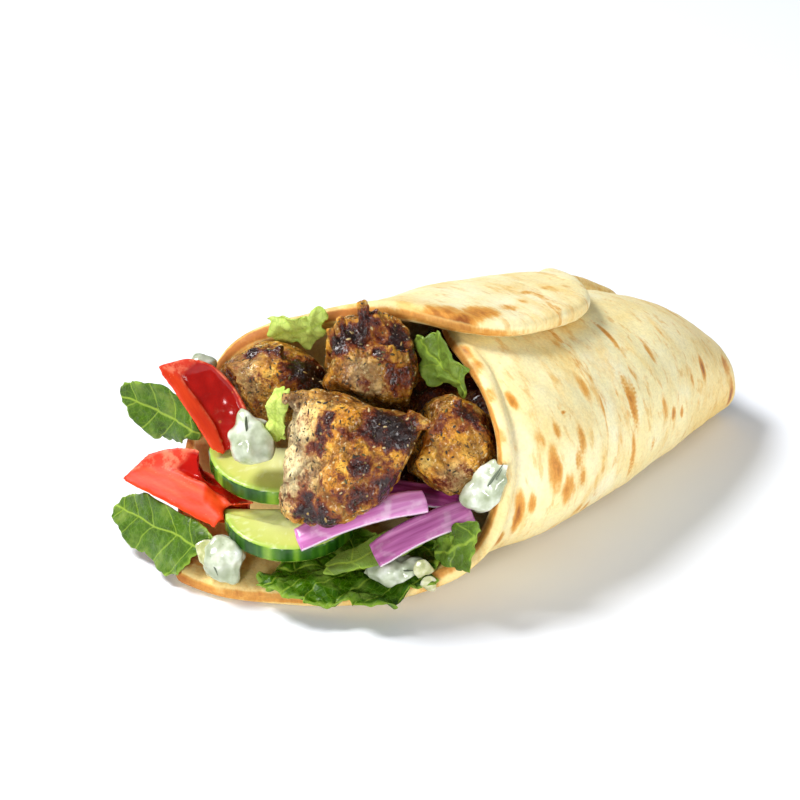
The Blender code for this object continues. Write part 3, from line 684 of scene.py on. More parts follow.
def sprinkle(name, slot, look, pieces, each, seed):
    """Lays flecks flat on the pieces, so many on each square decimetre."""
    dice = np.random.default_rng(seed)
    body = bmesh.new()
    tints = []
    for piece in pieces:
        faces = piece.data.polygons
        area, centre, normal = np.empty(len(faces)), np.empty(len(faces) * 3), np.empty(len(faces) * 3)
        faces.foreach_get("area", area)
        faces.foreach_get("center", centre)
        faces.foreach_get("normal", normal)
        count = int(each * area.sum() / SQUARE_DECIMETRE)
        for k in dice.choice(len(faces), count, p=area / area.sum()):
            facing = Vector(normal[3 * k:3 * k + 3])
            turn = facing.to_track_quat("Z", "Y").to_matrix().to_4x4()
            turn = turn @ Matrix.Rotation(dice.uniform(0, 6.28), 4, "Z")
            long = dice.uniform(*FLECK_LENGTHS) * MM
            wide = FLECK_WIDTH * dice.uniform(0.6, 1.3) * MM
            place = Matrix.Translation(Vector(centre[3 * k:3 * k + 3])) @ turn
            place = place @ Matrix.Diagonal((long, wide, FLECK_THICKNESS * MM, 1.0))
            made = bmesh.ops.create_icosphere(body, subdivisions=1, radius=1.0, matrix=place)
            tints += [dice.uniform()] * len(made["verts"])
    mesh = bpy.data.meshes.new(name)
    body.to_mesh(mesh)
    body.free()
    mark(mesh, "tint", tints)
    finish_piece(mesh, name, slot, look)


def fleck_material(name, stops):
    """Specks whose colour goes by their own tint."""
    made, r, shader = material(name)
    tinted = r.scale_of(r.marked("tint"), stops)
    colour = r.over(tinted, paint(60, 40, 20), r.times(r.noise(r.place(), 0.6, 3), 0.5))
    set_shader(r, shader, colour, 0.45)
    return made


def chicken_material(settings):
    made, r, shader = material("charred chicken")
    place = r.place()
    tone = r.noise(place, 6.5, 5, 0.62, 0.5)
    colour = r.scale_of(tone, (
        (0.3, 122, 70, 12), (0.43, 190, 124, 28), (0.55, settings.golden), (0.7, 248, 212, 112)))
    colour = r.over(colour, paint(228, 150, 24), r.times(blotches(r, place, 8, 0.5, 0.64), 0.5))
    # Pale cream where the pale mark lies: paler meat together with painted light on the lit left sides.
    colour = r.over(colour, paint(250, 236, 180), r.times(r.marked("pale"), r.span(tone, 0.3, 0.55, 0.5, 1.0), 0.9))
    caramel = blotches(r, place, 4.5, 0.53, 0.66)
    colour = r.over(colour, paint(148, 70, 8), r.times(caramel, 0.65))
    # Painted shade: dark brown in the seams and hollows that the seam mark holds.
    colour = r.over(colour, paint(66, 26, 8), r.times(r.marked("seam"), 0.6))
    crumb = r.noise(place, 1.1, 5, 0.7)
    dirty = r.span(r.noise(place, 7, 2), 0.36, 0.6, 0.35, 0.9)
    colour = r.over(colour, paint(44, 26, 8), r.times(r.span(crumb, 0.49, 0.38), dirty))
    colour = r.over(colour, paint(252, 234, 186), r.times(r.span(crumb, 0.56, 0.68), 0.6))
    ragged = r.sum(r.noise(place, 3.0, 7, 0.8), -0.5)
    char = r.sum(r.times(r.marked("char"), 0.86), r.times(blotches(r, place, 9, 0.52, 0.72), 0.4), how="MAXIMUM")
    char = r.sum(char, r.times(ragged, 1.8), clamp=True)
    burnt = r.scale_of(char, (
        (0.1, 176, 92, 18), (0.28, 122, 52, 12), (0.46, 88, 30, 8), (0.62, 48, 14, 6), (0.88, settings.burnt)))
    colour = r.over(colour, burnt, r.span(char, 0.06, 0.4))
    # Painted highlight: pale flecks in the char stand for glints on wet fat, together with real flecks of salt.
    salt_and_painted_glint = r.times(r.span(r.cells(place, 1.3), 0.2, 0.1), r.span(char, 0.25, 0.55))
    salt_and_painted_glint = r.times(salt_and_painted_glint, r.span(r.noise(place, 3, 2), 0.4, 0.52), 0.8)
    colour = r.over(colour, paint(226, 204, 182), salt_and_painted_glint)
    pepper = r.span(r.cells(place, 1.3), 0.22, 0.12)
    colour = r.over(colour, paint(34, 26, 14), r.times(pepper, r.span(r.noise(place, 5, 2), 0.4, 0.55), 0.9))
    height = grain(r, place, 1.3, 0.5)
    wet = r.sum(r.span(char, 0.25, 0.6), r.span(r.noise(place, 5, 3), 0.5, 0.62), how="MAXIMUM")
    set_shader(r, shader, colour, r.span(wet, 0.1, 0.9, 0.48, 0.13), r.bump(height, 0.9, 0.6),
               Specular_IOR_Level=0.3, Coat_Weight=r.times(wet, 0.3), Coat_Roughness=0.05,
               Subsurface_Weight=0.05, soft=(0.003, 0.0015, 0.0008, 0.5))
    return made


# Tomato

# Each wedge: its centre, axis and half length, the facing of its open cut, its depth and opening angle,
# where its wall starts, and where its hollow starts and how deep it is
WEDGES = {
    "tomato_lower": (
        (-84.5, 11.75, 22.0), (10, -49, -4.5), 24.5, OUTWARD + 0.25 * UPWARD, 20, 66, 0.4, (-14, -2), 2.0),
    "tomato_upper": (
        (-75.5, 19.25, 45.0), (7, -16, -24.0), 19, OUTWARD + 0.2 * RIGHT, 17, 62, 0.66, (-17, -8), 0.9),
}


def make_tomato(settings):
    flesh = tomato_material(settings)
    for number, (node, given) in enumerate(WEDGES.items()):
        at, axis, half_length, facing, depth, opening, wall, start, dip = given
        mesh = even_copy(node, cell=0.5, rounds=9)
        x = np.array(axis, float) / np.linalg.norm(axis)
        z = facing - x * np.dot(x, facing)
        z /= np.linalg.norm(z)
        y = np.cross(z, x)
        spots, normals = spots_of(mesh), normals_of(mesh)
        local = (spots - at) @ np.array([x, y, z]).T
        # Turned by half the opening, so that the wedge's core lies on its own Z
        half = math.radians(opening / 2)
        c, s = math.cos(half), math.sin(half)
        untwist = np.array([[1, 0, 0], [0, s, c], [0, -c, s]]).T
        wedge = local @ untwist
        radius = np.hypot(wedge[:, 1], wedge[:, 2] - depth * 0.5)
        end = np.abs(np.clip(wedge[:, 0] / half_length, -1, 1))
        reach = depth * np.sqrt(np.clip(1 - end**2.3, 0.02, 1))
        share = 1 - np.clip(radius / reach, 0, 1)
        skin = ramp(-(normals @ y), 0.45, 0.8)
        seed = 80 + 9 * number
        wavy = share + 0.05 * waves(wedge, 8, seed)
        cavity = (1 - skin) * ramp(wavy, 0.04, 0.12) * (1 - ramp(wavy, wall - 0.07, wall + 0.03))
        cavity = cavity * ramp(wedge[:, 0] + 3 * waves(spots, 7, seed), *start) * (1 - ramp(wedge[:, 0], 10, 17))
        lift = 0.25 * waves(spots, 12, seed + 1) * (1 - skin) - dip * cavity
        lift += 0.3 * cavity * waves(spots, 3, seed + 4)
        lift += 0.05 * waves(wedge * (0.25, 1, 1), 1.8, seed + 2) * (1 - skin)
        put_spots(mesh, spots + normals * lift[:, None])
        mark(mesh, "skin", skin)
        mark(mesh, "cavity", cavity)
        mark(mesh, "wedge", wedge * MM)
        mark(mesh, "wall", ramp(wavy, wall - 0.04, wall + 0.06))
        mark(mesh, "depth", share)
        finish_piece(mesh, node + "_wedge", "tomato", flesh, node)


def tomato_material(settings):
    made, r, shader = material("ripe tomato")
    place, along = r.place(), r.marked("wedge", True)
    strand = r.noise(r.stretched(along, (0.16, 1, 1)), 2.6, 4, 0.55)
    flesh = r.scale_of(strand, ((0.3, 200, 42, 8), (0.52, settings.flesh), (0.78, 232, 84, 32)))
    inner = r.over(paint(208, 54, 30), paint(232, 120, 88), r.span(r.noise(place, 3, 4, 0.65), 0.42, 0.62))
    colour = r.over(inner, flesh, r.marked("wall"))
    speckle = r.times(r.span(r.cells(place, 1.1), 0.2, 0.08), blotches(r, place, 7, 0.5, 0.64), 0.4)
    colour = r.over(colour, paint(246, 160, 110), speckle)
    colour = r.over(colour, paint(252, 172, 118), r.times(r.span(r.marked("depth"), 0.9, 0.97), 0.35))
    wet = r.marked("cavity")
    jelly = r.over(paint(138, 4, 3), paint(196, 24, 9), r.noise(place, 5, 3))
    seeds = r.times(r.span(r.cells(place, 4.6), 0.12, 0.07), 0.35)
    jelly = r.over(jelly, paint(226, 150, 70), seeds)
    colour = r.over(colour, jelly, r.span(wet, 0.12, 0.5))
    peel = r.scale_of(r.noise(r.stretched(along, (0.3, 1, 1)), 14, 3), (
        (0.3, 226, 48, 8), (0.6, settings.peel), (0.85, 250, 128, 30)))
    colour = r.over(colour, peel, r.marked("skin"))
    height = grain(r, place, 1.5, 0.6)
    set_shader(r, shader, colour, r.span(wet, 0, 0.6, 0.42, 0.16), r.bump(height, 0.22, 0.2),
               Specular_IOR_Level=0.2, Coat_Weight=r.times(wet, 0.3), Coat_Roughness=0.06,
               Subsurface_Weight=0.05, soft=(0.006, 0.0015, 0.0006, 0.5))
    return made


# Cucumber

# Half slices: centre and radius; the straight cut runs along RIGHT
SLICES = {"cucumber_upper": ((-60.0, 3.75, 31.0), 22), "cucumber_lower": ((-68.0, -9.75, 19.7), 19.5)}


def make_cucumber(settings):
    crisp = cucumber_material(settings)
    up = np.array((0, 0, 1.0)) + 0.14 * OUTWARD
    for number, (node, (at, radius)) in enumerate(SLICES.items()):
        mesh = even_copy(node, cell=0.42, rounds=3)
        z = up - RIGHT * np.dot(RIGHT, up)
        z /= np.linalg.norm(z)
        axes = np.array([RIGHT, np.cross(z, RIGHT), z])
        spots, normals = spots_of(mesh), normals_of(mesh)
        local = (spots - at) @ axes.T
        local[:, 1] -= half_slice_centre(local)
        share = np.hypot(local[:, 0], local[:, 1]) / radius
        rim = ramp(np.abs(normals @ axes[2]), 0.75, 0.35) * ramp(share, 0.86, 0.94)
        turn = np.arctan2(local[:, 1], local[:, 0])
        seedy = np.exp(-(((share - 0.36) / 0.13) ** 2)) * np.clip(np.cos(turn * 9), 0, 1)
        lift = (0.08 * waves(spots, 3, 90 + number) - 0.18 * seedy) * (1 - rim) + 0.1 * rim * np.sin(turn * 30)
        put_spots(mesh, spots + normals * lift[:, None])
        mark(mesh, "rind", rim)
        mark(mesh, "share", share)
        mark(mesh, "slice", np.column_stack([local[:, 0], local[:, 1], turn * radius]) * MM)
        mark(mesh, "seedy", seedy)
        finish_piece(mesh, node + "_slice", "cucumber", crisp, node)


def half_slice_centre(local):
    """Where the round's centre lies along the slice's own Y: on its wider side."""
    low, high = local[:, 1].min(), local[:, 1].max()
    near_round = np.ptp(local[local[:, 1] < low + 2][:, 0]) < np.ptp(local[local[:, 1] > high - 2][:, 0])
    return high - 0.5 if near_round else low + 0.5


def cucumber_material(settings):
    made, r, shader = material("fresh cucumber")
    place, cut = r.place(), r.marked("slice", True)
    share = r.marked("share")
    colour = r.scale_of(share, (
        (0.0, 226, 228, 164), (0.42, 220, 222, 150), (0.62, settings.flesh),
        (0.88, 200, 208, 104), (0.97, 160, 190, 70)))
    mottled = r.noise(cut, 3.2, 3)
    colour = r.over(colour, paint(234, 238, 192), r.times(r.span(mottled, 0.5, 0.7), 0.35))
    colour = r.over(colour, paint(196, 208, 116), r.times(r.marked("seedy"), 0.3))
    stripes = r.noise(r.stretched(cut, (0, 0, 1)), 6.5, 2, 0.5)
    rind = r.scale_of(stripes, (
        (0.4, settings.rind), (0.5, 50, 98, 14), (0.58, 100, 148, 28), (0.68, 158, 192, 62)))
    rind = r.over(rind, paint(26, 72, 16), r.times(r.noise(place, 1.4, 3), 0.45))
    colour = r.over(colour, rind, r.span(r.marked("rind"), 0.3, 0.7))
    height = grain(r, place, 1.6, 0.5)
    set_shader(r, shader, colour, r.span(r.marked("rind"), 0, 1, 0.34, 0.26), r.bump(height, 0.2, 0.25),
               Specular_IOR_Level=0.35, Coat_Weight=0.12, Coat_Roughness=0.1,
               Subsurface_Weight=0.12, soft=(0.003, 0.004, 0.0015, 0.6))
    return made


# Onion

# Each strip: its seed, and how deep its purple is, which also paints shade: the strip at the back darkest, the near
# one less
ONIONS = {"onion_long": (0.0, 0.0), "onion_near": (1.0, 0.45), "onion_back": (2.0, 1.0)}


def make_onion(settings):
    crisp = onion_material(settings)
    for node, (seed, deep) in ONIONS.items():
        mesh = even_copy(node, cell=0.3, rounds=1)
        spots, normals = spots_of(mesh), normals_of(mesh)
        axes = main_axes(spots)
        local = (spots - spots.mean(axis=0)) @ axes
        lift = 0.05 * waves(local * (0.12, 1, 1), 1.6, 100 + seed)
        put_spots(mesh, spots + normals * lift[:, None])
        mark(mesh, "strip", local * MM)
        mark(mesh, "cut", np.abs(normals @ axes[:, 1]))
        # Deep purple is partly the strip's own colour and partly painted shade, darkest on the strip at the back.
        mark(mesh, "deep", np.full(len(spots), deep))
        finish_piece(mesh, node + "_strip", "onion", crisp, node)


def onion_material(settings):
    made, r, shader = material("red onion")
    strip = r.marked("strip", True)
    lines = r.noise(r.stretched(strip, (0.07, 1, 1)), 1.5, 3, 0.5)
    light = r.scale_of(lines, ((0.32, 188, 100, 164), (0.5, settings.violet), (0.68, 226, 164, 208)))
    light = r.over(light, paint(238, 206, 226), r.times(r.span(r.noise(strip, 5, 3), 0.56, 0.72), 0.6))
    deep = r.scale_of(lines, ((0.32, 104, 20, 74), (0.5, 148, 44, 112), (0.7, 196, 100, 164)))
    # Painted shade together with deeper purple: strips marked deep take the darker scale.
    colour = r.over(light, deep, r.marked("deep"))
    colour = r.over(colour, paint(246, 232, 240), r.times(r.span(r.marked("cut"), 0.7, 0.95), 0.8))
    set_shader(r, shader, colour, 0.28, r.bump(lines, 0.08, 0.12),
               Coat_Weight=0.2, Coat_Roughness=0.1, Subsurface_Weight=0.12, soft=(0.003, 0.001, 0.002, 0.5))
    return made


# Lettuce

# Each leaf: how much its rim frills, how large the ruffles are, how pale it is, its seed, and how fine its mesh is
LEAVES = {
    "lettuce_bed": (2.1, 6.0, 0.0, 3.1, 4), "lettuce_rib": (0.5, 8.0, 0.2, 4.2, 3),
    "lettuce_low": (0.8, 8.0, 0.05, 5.3, 4), "lettuce_left": (0.8, 7.0, 0.05, 6.4, 4),
    "lettuce_near": (1.6, 5.0, 0.1, 7.5, 3), "lettuce_top": (1.8, 5.0, 0.2, 8.6, 3),
    "lettuce_back": (1.4, 5.0, 0.8, 9.7, 3), "lettuce_middle": (1.2, 4.0, 1.0, 10.8, 3),
}
# The angle between faces that marks a leaf's rim, for each fineness of its mesh
RIM_ANGLE = {3: 0.42, 4: 0.24}


def leaf_veins(flat, seed):
    """How near each spot of a leaf lies to a vein, thin and wide: a midrib, its branches and a net between them."""
    u = flat[:, 0] + 2.4 * waves(flat, 13, seed)
    v = flat[:, 1] + 2.0 * waves(flat, 12, seed + 1)
    side = np.abs(v)
    reach = u - 0.8 * side
    branch = np.abs((reach / 8.5 + 0.5) % 1 - 0.5) * 8.5 * 0.78
    net = np.empty(len(flat))
    for k, p in enumerate(np.column_stack([u, v, np.full(len(u), seed)]).tolist()):
        away = noise.voronoi(Vector((p[0] / 4.4, p[1] / 4.4, p[2])))[0]
        net[k] = (away[1] - away[0]) * 2.2
    thin = np.maximum(np.exp(-((side / 0.5) ** 2)), 0.85 * np.exp(-((branch / 0.36) ** 2)))
    thin = np.maximum(thin, 0.5 * np.exp(-((net / 0.28) ** 2)))
    wide = np.maximum(np.exp(-((np.minimum(side, branch) / 1.3) ** 2)), 0.5 * np.exp(-((net / 0.8) ** 2)))
    return thin, wide


def make_lettuce(settings):
    kinds = {}
    for node, (frill, size, pale, seed, levels) in LEAVES.items():
        mesh = sheet_copy(node, node, levels)
        body = bmesh.new()
        body.from_mesh(mesh)
        sharp = [e for e in body.edges if e.calc_face_angle(0.0) > RIM_ANGLE[levels]]
        rim = sorted({v.index for e in sharp for v in e.verts})
        body.free()
        spots, normals = spots_of(mesh), normals_of(mesh)
        tree = kdtree.KDTree(max(len(rim), 1))
        for k in rim:
            tree.insert(spots[k].tolist(), k)
        tree.balance()
        edge = np.array([tree.find(p)[2] for p in spots.tolist()])
        axes = main_axes(spots)
        local = (spots - spots.mean(axis=0)) @ axes
        flat = local * (1, 1, 0)
        near_rim, at_rim = np.exp(-edge / 4.5), np.exp(-edge / 1.6)
        push = drift(spots, size, seed) * (0.35 + 1.0 * near_rim)[:, None] * frill * settings.ruffle
        push += drift(spots, size / 2.4, seed + 1) * (0.12 + 0.5 * near_rim)[:, None] * frill * settings.ruffle
        ragged = (waves(flat, 3.2, seed + 3) + 0.6 * waves(flat, 1.6, seed + 4)) * at_rim * 1.3
        outward = flat / np.maximum(np.linalg.norm(flat, axis=1), 1e-6)[:, None]
        push += (ragged[:, None] * outward) @ axes.T
        vein, wide = leaf_veins(flat, seed)
        blister = 0.6 * (1 - wide) * (0.7 + 0.8 * waves(flat, 5, seed + 2))
        blister += 0.3 * frill * waves(flat, 2.4, seed + 5)
        push += np.outer(blister * (1 - 0.6 * at_rim), axes[:, 2] * np.sign(axes[:, 2] @ (OUTWARD + UPWARD)))
        low, high = box_of(SOLID_BOX)
        put_spots(mesh, np.clip(spots + push, low - (0.8, 0.8, 0), high + 0.8))
        mark(mesh, "leaf", local * MM)
        mark(mesh, "edge", edge)
        mark(mesh, "vein", vein)
        if pale not in kinds:
            kinds[pale] = leaf_material(settings, pale)
        finish_piece(mesh, node + "_leaf", "lettuce", kinds[pale], node)


def leaf_material(settings, pale):
    made, r, shader = material("lettuce " + ("pale" if pale > 0.5 else "green"))
    place, leaf = r.place(), r.marked("leaf", True)
    deep, light = tuple(settings.leaf), tuple(settings.young)
    base = r.scale_of(r.noise(place, 8, 4, 0.6), (
        (0.3, tuple(d * 0.5 * (1 - pale) + l * 0.72 * pale for d, l in zip(deep, light))),
        (0.52, tuple(d * (1 - pale) + l * pale for d, l in zip(deep, light))),
        (0.78, tuple(d * (0.7 - 0.7 * pale) + l * (0.3 + 0.7 * pale) for d, l in zip(deep, light)))))
    fine = r.span(r.cells(r.stretched(leaf, (1, 1, 0)), 1.7, "DISTANCE_TO_EDGE"), 0.09, 0.02)
    colour = r.over(base, paint(104, 140, 34), r.times(fine, 0.3))
    colour = r.over(colour, paint(164, 190, 66), r.times(r.span(r.marked("vein"), 0.4, 1.0), 0.6))
    rim = r.span(r.marked("edge"), 1.1, 0.1)
    colour = r.over(colour, paint(160, 192, 64), r.times(rim, 0.45))
    height = r.sum(r.times(fine, -0.3), r.times(grain(r, place, 1.6, 0.6), 0.6))
    set_shader(r, shader, colour, r.span(r.noise(place, 6, 3), 0.35, 0.65, 0.26, 0.5), r.bump(height, 0.5, 0.35),
               Specular_IOR_Level=0.18, Subsurface_Weight=0.04, soft=(0.001, 0.002, 0.0004, 0.5))
    return made


# Sauce

# Each dollop: how uneven it is
SAUCES = {"sauce_peak": 0.8, "sauce_right": 0.9, "sauce_low": 1.1, "sauce_front": 1.3, "sauce_back": 0.8}
# Dark shreds of herb and cucumber peel in the sauce: start, end and width
SHREDS = (
    ((-78.0, -2.8, 52.4), (-79.8, -5.4, 46.8), 0.7),
    ((-37.6, -59.8, 39.8), (-32.0, -60.2, 45.4), 0.8), ((-35.4, -60.3, 40.4), (-32.8, -60.4, 44.0), 0.6),
    ((-60.4, -50.8, 17.2), (-57.0, -51.4, 16.2), 0.5),
    ((-95.4, -7.2, 15.6), (-95.2, -10.6, 9.8), 0.6),
)
# See-through slivers of cucumber: start, end, width and curl
SLIVERS = (
    ((-57.0, -51.4, 17.6), (-50.0, -52.2, 13.6), 4.6, 0.5), ((-54.0, -52.6, 13.2), (-49.6, -52.0, 6.4), 4.2, 0.7),
    ((-94.0, -2.6, 18.0), (-95.8, -7.4, 10.6), 5.6, 1.0),
)


def make_sauce(settings):
    white = sauce_material(settings)
    for number, (node, uneven) in enumerate(SAUCES.items()):
        mesh = even_copy(node, cell=0.4, rounds=8)
        spots, normals = spots_of(mesh), normals_of(mesh)
        seed = 120 + 5 * number
        lift = uneven * (1.5 * waves(spots, 5.5, seed) + 0.6 * waves(spots, 2.6, seed + 1))
        put_spots(mesh, spots + normals * np.clip(lift, -1.6, 1.3)[:, None])
        smoothed(mesh, 3)
        # The thin mark is painted shade in the dollop's hollows, where its surface was pushed in and the sauce lies
        # thinner.
        mark(mesh, "thin", np.clip(-lift, 0, 1))
        finish_piece(mesh, node + "_dollop", "sauce", white, node)
    herb = fleck_material("herb shreds", ((0.0, 70, 86, 62), (0.5, 112, 126, 100), (1.0, 150, 160, 134)))
    plates("sauce_herbs", [(start, end, width, 0.3) for start, end, width in SHREDS], 0.4, herb)
    plates("cucumber_slivers", SLIVERS, 0.45, sliver_material())


def plates(name, pieces, thick, look):
    """Thin curled plates that lie on the mouth's front, each from its start to its end."""
    body = bmesh.new()
    tints = []
    for number, (start, end, width, curl) in enumerate(pieces):
        start, end = Vector(start) * MM, Vector(end) * MM
        along = (end - start).normalized()
        facing = Vector(OUTWARD)
        facing = (facing - along * facing.dot(along)).normalized()
        turn = Matrix((along, facing.cross(along), facing)).transposed().to_4x4()
        made = bmesh.ops.create_icosphere(body, subdivisions=3, radius=1.0)
        for v in made["verts"]:
            x, y, z = v.co
            uneven = 1 + 0.3 * noise.noise(Vector((2 * x, 2 * y, 3.7 * number)))
            wide = width * MM / 2 * uneven * (1 - 0.55 * x)
            v.co = Vector((x * (end - start).length / 2, y * wide, z * thick * MM / 2))
            v.co.z += curl * MM * (0.6 - x * x - 0.4 * y * y)
        bmesh.ops.transform(body, matrix=Matrix.Translation((start + end) / 2) @ turn, verts=made["verts"])
        tints += [(number * 0.37) % 1] * len(made["verts"])
    mesh = bpy.data.meshes.new(name)
    body.to_mesh(mesh)
    body.free()
    mark(mesh, "tint", tints)
    finish_piece(mesh, name, "sauce", look)


def sliver_material():
    made, r, shader = material("soaked cucumber")
    place = r.place()
    colour = r.scale_of(r.noise(place, 2.6, 3), (
        (0.36, 172, 176, 116), (0.52, 206, 206, 150), (0.68, 232, 230, 190)))
    set_shader(r, shader, colour, 0.16, r.bump(r.noise(place, 1.2, 3), 0.2, 0.2),
               Coat_Weight=0.5, Coat_Roughness=0.06, Subsurface_Weight=0.4, soft=(0.003, 0.003, 0.0015, 0.7))
    return made


def sauce_material(settings):
    made, r, shader = material("white sauce")
    place = r.place()
    colour = r.scale_of(r.noise(place, 5, 3), ((0.32, 158, 168, 132), (0.5, settings.white), (0.68, 238, 241, 230)))
    # Painted shade: grey-green in the hollows that the thin mark holds.
    colour = r.over(colour, paint(158, 166, 136), r.times(r.marked("thin"), 0.7))
    bits = r.times(r.span(r.cells(place, 2.6), 0.16, 0.08), blotches(r, place, 6, 0.5, 0.6), 0.6)
    colour = r.over(colour, paint(140, 152, 118), bits)
    set_shader(r, shader, colour, 0.2, r.bump(grain(r, place, 2.2, 0.8), 0.15, 0.25),
               Coat_Weight=0.4, Coat_Roughness=0.08, Subsurface_Weight=0.3, soft=(0.003, 0.003, 0.0025, 0.7))
    return made


# Stage

CAMERA_AT = (-407.21, -463.93, 356.43)
CAMERA_AIM = (-28.56, -11.25, 44.2)


def make_stage(settings):
    scene = bpy.context.scene
    data = bpy.data.cameras.new("camera")
    data.lens, data.sensor_width = settings.lens, 36.0
    camera = bpy.data.objects.new("camera", data)
    scene.collection.objects.link(camera)
    at, aim = Vector(CAMERA_AT) * MM, Vector(CAMERA_AIM) * MM
    camera.matrix_world = Matrix.Translation(at) @ (aim - at).to_track_quat("-Z", "Y").to_matrix().to_4x4()
    scene.camera = camera
    body = bmesh.new()
    bmesh.ops.create_grid(body, x_segments=1, y_segments=1, size=4.0)
    mesh = bpy.data.meshes.new("floor")
    body.to_mesh(mesh)
    body.free()
    floor = bpy.data.objects.new("floor", mesh)
    floor.location.z = -0.0002
    scene.collection.objects.link(floor)
    made, recipe, shader = material("pale floor")
    set_shader(recipe, shader, paint(246, 248, 253), 0.9, Specular_IOR_Level=0.0)
    mesh.materials.append(made)
    world = bpy.data.worlds.new("studio")
    world.use_nodes = True
    world.node_tree.nodes["Background"].inputs["Color"].default_value = (0.84, 0.92, 1, 1)
    world.node_tree.nodes["Background"].inputs["Strength"].default_value = settings.fill
    scene.world = world
    lamps = (
        ("key", (-0.67, 0.88, 1.57), 0.72, settings.key),
        ("front", (-0.85, -0.5, 0.34), 0.26, settings.front),
        ("right", (0.2, -0.98, 0.19), 0.34, settings.right),
    )
    for name, place, size, power in lamps:
        lamp = bpy.data.lights.new(name, "AREA")
        lamp.shape, lamp.size, lamp.energy = "DISK", size, power
        holder = bpy.data.objects.new(name, lamp)
        scene.collection.objects.link(holder)
        spot = Vector(place)
        holder.matrix_world = Matrix.Translation(spot) @ (-spot).to_track_quat("-Z", "Y").to_matrix().to_4x4()
    scene.view_settings.view_transform = "Standard"


# Settings, operators and panel


def colour_of(name, about, red, green, blue):
    """A colour setting, its start given in screen values."""
    return FloatVectorProperty(
        name=name, description=about, subtype="COLOR", size=3, min=0, max=1, default=paint(red, green, blue))


class GyroBread(bpy.types.PropertyGroup):
    crumb: colour_of("Crumb", "The bread's pale body colour", 254, 240, 186)
    golden: colour_of("Golden", "The lighter toasted spots", 232, 178, 92)
    relief: FloatProperty(
        name="Relief", description="How strong the bread's blisters are", default=1.0, min=0, max=3)
    toasting: FloatProperty(
        name="Toasting", description="How dark the toasted spots are", default=1.0, min=0, max=1.5, subtype="FACTOR")


class GyroChicken(bpy.types.PropertyGroup):
    golden: colour_of("Golden", "The grilled meat's main colour", 230, 166, 48)
    burnt: colour_of("Burnt", "The darkest char", 24, 7, 3)
    relief: FloatProperty(name="Relief", description="How craggy the meat is", default=0.8, min=0, max=3)
    herbs: FloatProperty(
        name="Herbs", description="Flecks of herb and pepper on each square decimetre", default=900.0, min=0, max=3000)
    charring: FloatProperty(
        name="Charring", description="How dark the char patches are", default=1.0, min=0, max=1.5, subtype="FACTOR")


class GyroTomato(bpy.types.PropertyGroup):
    flesh: colour_of("Flesh", "The cut flesh", 218, 60, 14)
    peel: colour_of("Skin", "The tomato's skin", 242, 84, 14)


class GyroCucumber(bpy.types.PropertyGroup):
    flesh: colour_of("Flesh", "The cut flesh", 212, 216, 126)
    rind: colour_of("Rind", "The dark of the skin", 28, 70, 8)


class GyroOnion(bpy.types.PropertyGroup):
    violet: colour_of("Violet", "The onion's outer flesh", 208, 130, 188)


class GyroLettuce(bpy.types.PropertyGroup):
    leaf: colour_of("Leaf", "The leaf between its veins", 52, 92, 0)
    young: colour_of("Young leaf", "The palest leaves", 206, 224, 112)
    ruffle: FloatProperty(
        name="Ruffle", description="How far the leaves' rims frill, as a share", default=1.0, min=0, max=3)


class GyroSauce(bpy.types.PropertyGroup):
    white: colour_of("White", "The sauce's colour", 196, 203, 176)


class GyroStage(bpy.types.PropertyGroup):
    lens: FloatProperty(
        name="Lens", description="The camera's focal length", default=102.589, min=20, unit="CAMERA")
    fill: FloatProperty(name="Fill", description="Strength of the even light from all round", default=0.27, min=0)
    key: FloatProperty(name="Key", description="The main light's power", default=40.5, min=0, unit="POWER")
    front: FloatProperty(
        name="Front", description="The power of the light at the front left", default=5.2, min=0, unit="POWER")
    right: FloatProperty(
        name="Right", description="The power of the soft light on the bread's near side", default=3.6, min=0,
        unit="POWER")


class GYRO_OT_bread(bpy.types.Operator):
    """Makes the toasted flatbread roll"""

    bl_idname = "gyro.bread"
    bl_label = "Flatbread"
    bl_options = {"REGISTER", "UNDO"}

    def execute(self, context):
        make_bread(context.scene.gyro_bread)
        return {"FINISHED"}


class GYRO_OT_chicken(bpy.types.Operator):
    """Makes the grilled chunks and the heap of meat behind them"""

    bl_idname = "gyro.chicken"
    bl_label = "Chicken"
    bl_options = {"REGISTER", "UNDO"}

    def execute(self, context):
        make_chicken(context.scene.gyro_chicken)
        return {"FINISHED"}


class GYRO_OT_tomato(bpy.types.Operator):
    """Makes the tomato wedges"""

    bl_idname = "gyro.tomato"
    bl_label = "Tomato"
    bl_options = {"REGISTER", "UNDO"}

    def execute(self, context):
        make_tomato(context.scene.gyro_tomato)
        return {"FINISHED"}


class GYRO_OT_cucumber(bpy.types.Operator):
    """Makes the cucumber half slices"""

    bl_idname = "gyro.cucumber"
    bl_label = "Cucumber"
    bl_options = {"REGISTER", "UNDO"}

    def execute(self, context):
        make_cucumber(context.scene.gyro_cucumber)
        return {"FINISHED"}


class GYRO_OT_onion(bpy.types.Operator):
    """Makes the onion strips"""

    bl_idname = "gyro.onion"
    bl_label = "Onion"
    bl_options = {"REGISTER", "UNDO"}

    def execute(self, context):
        make_onion(context.scene.gyro_onion)
        return {"FINISHED"}


class GYRO_OT_lettuce(bpy.types.Operator):
    """Makes the lettuce leaves"""

    bl_idname = "gyro.lettuce"
    bl_label = "Lettuce"
    bl_options = {"REGISTER", "UNDO"}

    def execute(self, context):
        make_lettuce(context.scene.gyro_lettuce)
        return {"FINISHED"}


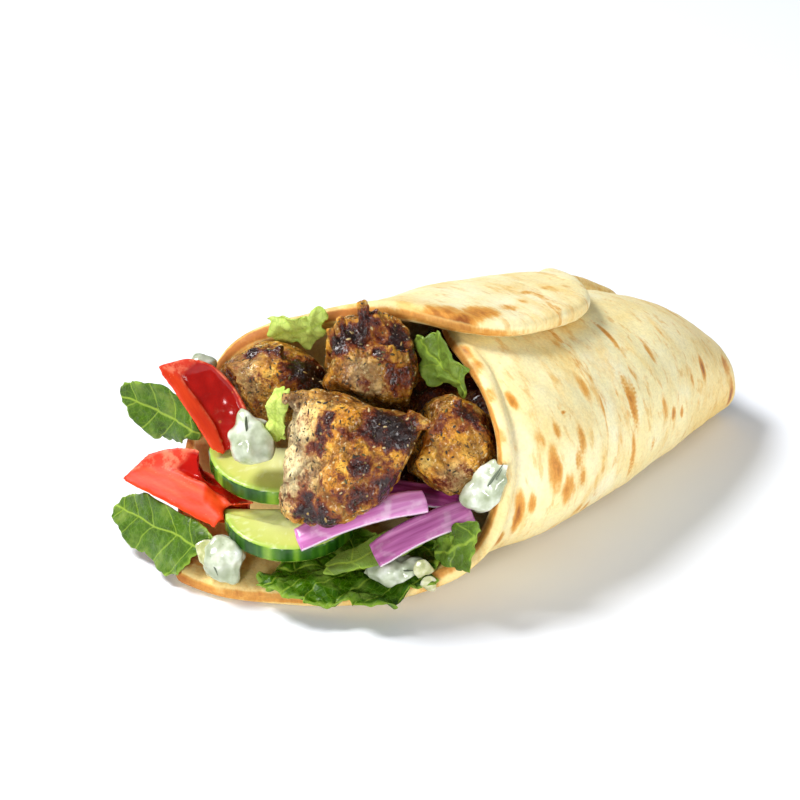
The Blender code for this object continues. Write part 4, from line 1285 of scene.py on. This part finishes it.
class GYRO_OT_sauce(bpy.types.Operator):
    """Makes the dollops of white sauce"""

    bl_idname = "gyro.sauce"
    bl_label = "Sauce"
    bl_options = {"REGISTER", "UNDO"}

    def execute(self, context):
        make_sauce(context.scene.gyro_sauce)
        return {"FINISHED"}


class GYRO_OT_stage(bpy.types.Operator):
    """Makes the floor, the lights and the camera"""

    bl_idname = "gyro.stage"
    bl_label = "Stage"
    bl_options = {"REGISTER", "UNDO"}

    def execute(self, context):
        make_stage(context.scene.gyro_stage)
        return {"FINISHED"}


SETTINGS = {
    "gyro_bread": GyroBread, "gyro_chicken": GyroChicken, "gyro_tomato": GyroTomato, "gyro_cucumber": GyroCucumber,
    "gyro_onion": GyroOnion, "gyro_lettuce": GyroLettuce, "gyro_sauce": GyroSauce, "gyro_stage": GyroStage,
}
OPERATORS = (
    GYRO_OT_bread, GYRO_OT_chicken, GYRO_OT_tomato, GYRO_OT_cucumber,
    GYRO_OT_onion, GYRO_OT_lettuce, GYRO_OT_sauce, GYRO_OT_stage,
)


class GYRO_PT_panel(bpy.types.Panel):
    """Lists the wrap's pieces and their settings"""

    bl_idname = "GYRO_PT_panel"
    bl_label = "Gyro wrap"
    bl_space_type = "VIEW_3D"
    bl_region_type = "UI"
    bl_category = "Gyro"

    def draw(self, context):
        for name, group in SETTINGS.items():
            box = self.layout.box()
            kept = getattr(context.scene, name)
            for key in group.__annotations__:
                box.prop(kept, key)
        for operator in OPERATORS:
            self.layout.operator(operator.bl_idname)


def register():
    for name, group in SETTINGS.items():
        bpy.utils.register_class(group)
        setattr(bpy.types.Scene, name, PointerProperty(type=group))
    for made in (*OPERATORS, GYRO_PT_panel):
        bpy.utils.register_class(made)


def unregister():
    for made in reversed((*OPERATORS, GYRO_PT_panel)):
        bpy.utils.unregister_class(made)
    for name, group in SETTINGS.items():
        delattr(bpy.types.Scene, name)
        bpy.utils.unregister_class(group)


def main():
    register()
    bpy.ops.gyro.bread()
    bpy.ops.gyro.chicken()
    bpy.ops.gyro.tomato()
    bpy.ops.gyro.cucumber()
    bpy.ops.gyro.onion()
    bpy.ops.gyro.lettuce()
    bpy.ops.gyro.sauce()
    bpy.ops.gyro.stage()


if __name__ == "__main__":
    main()
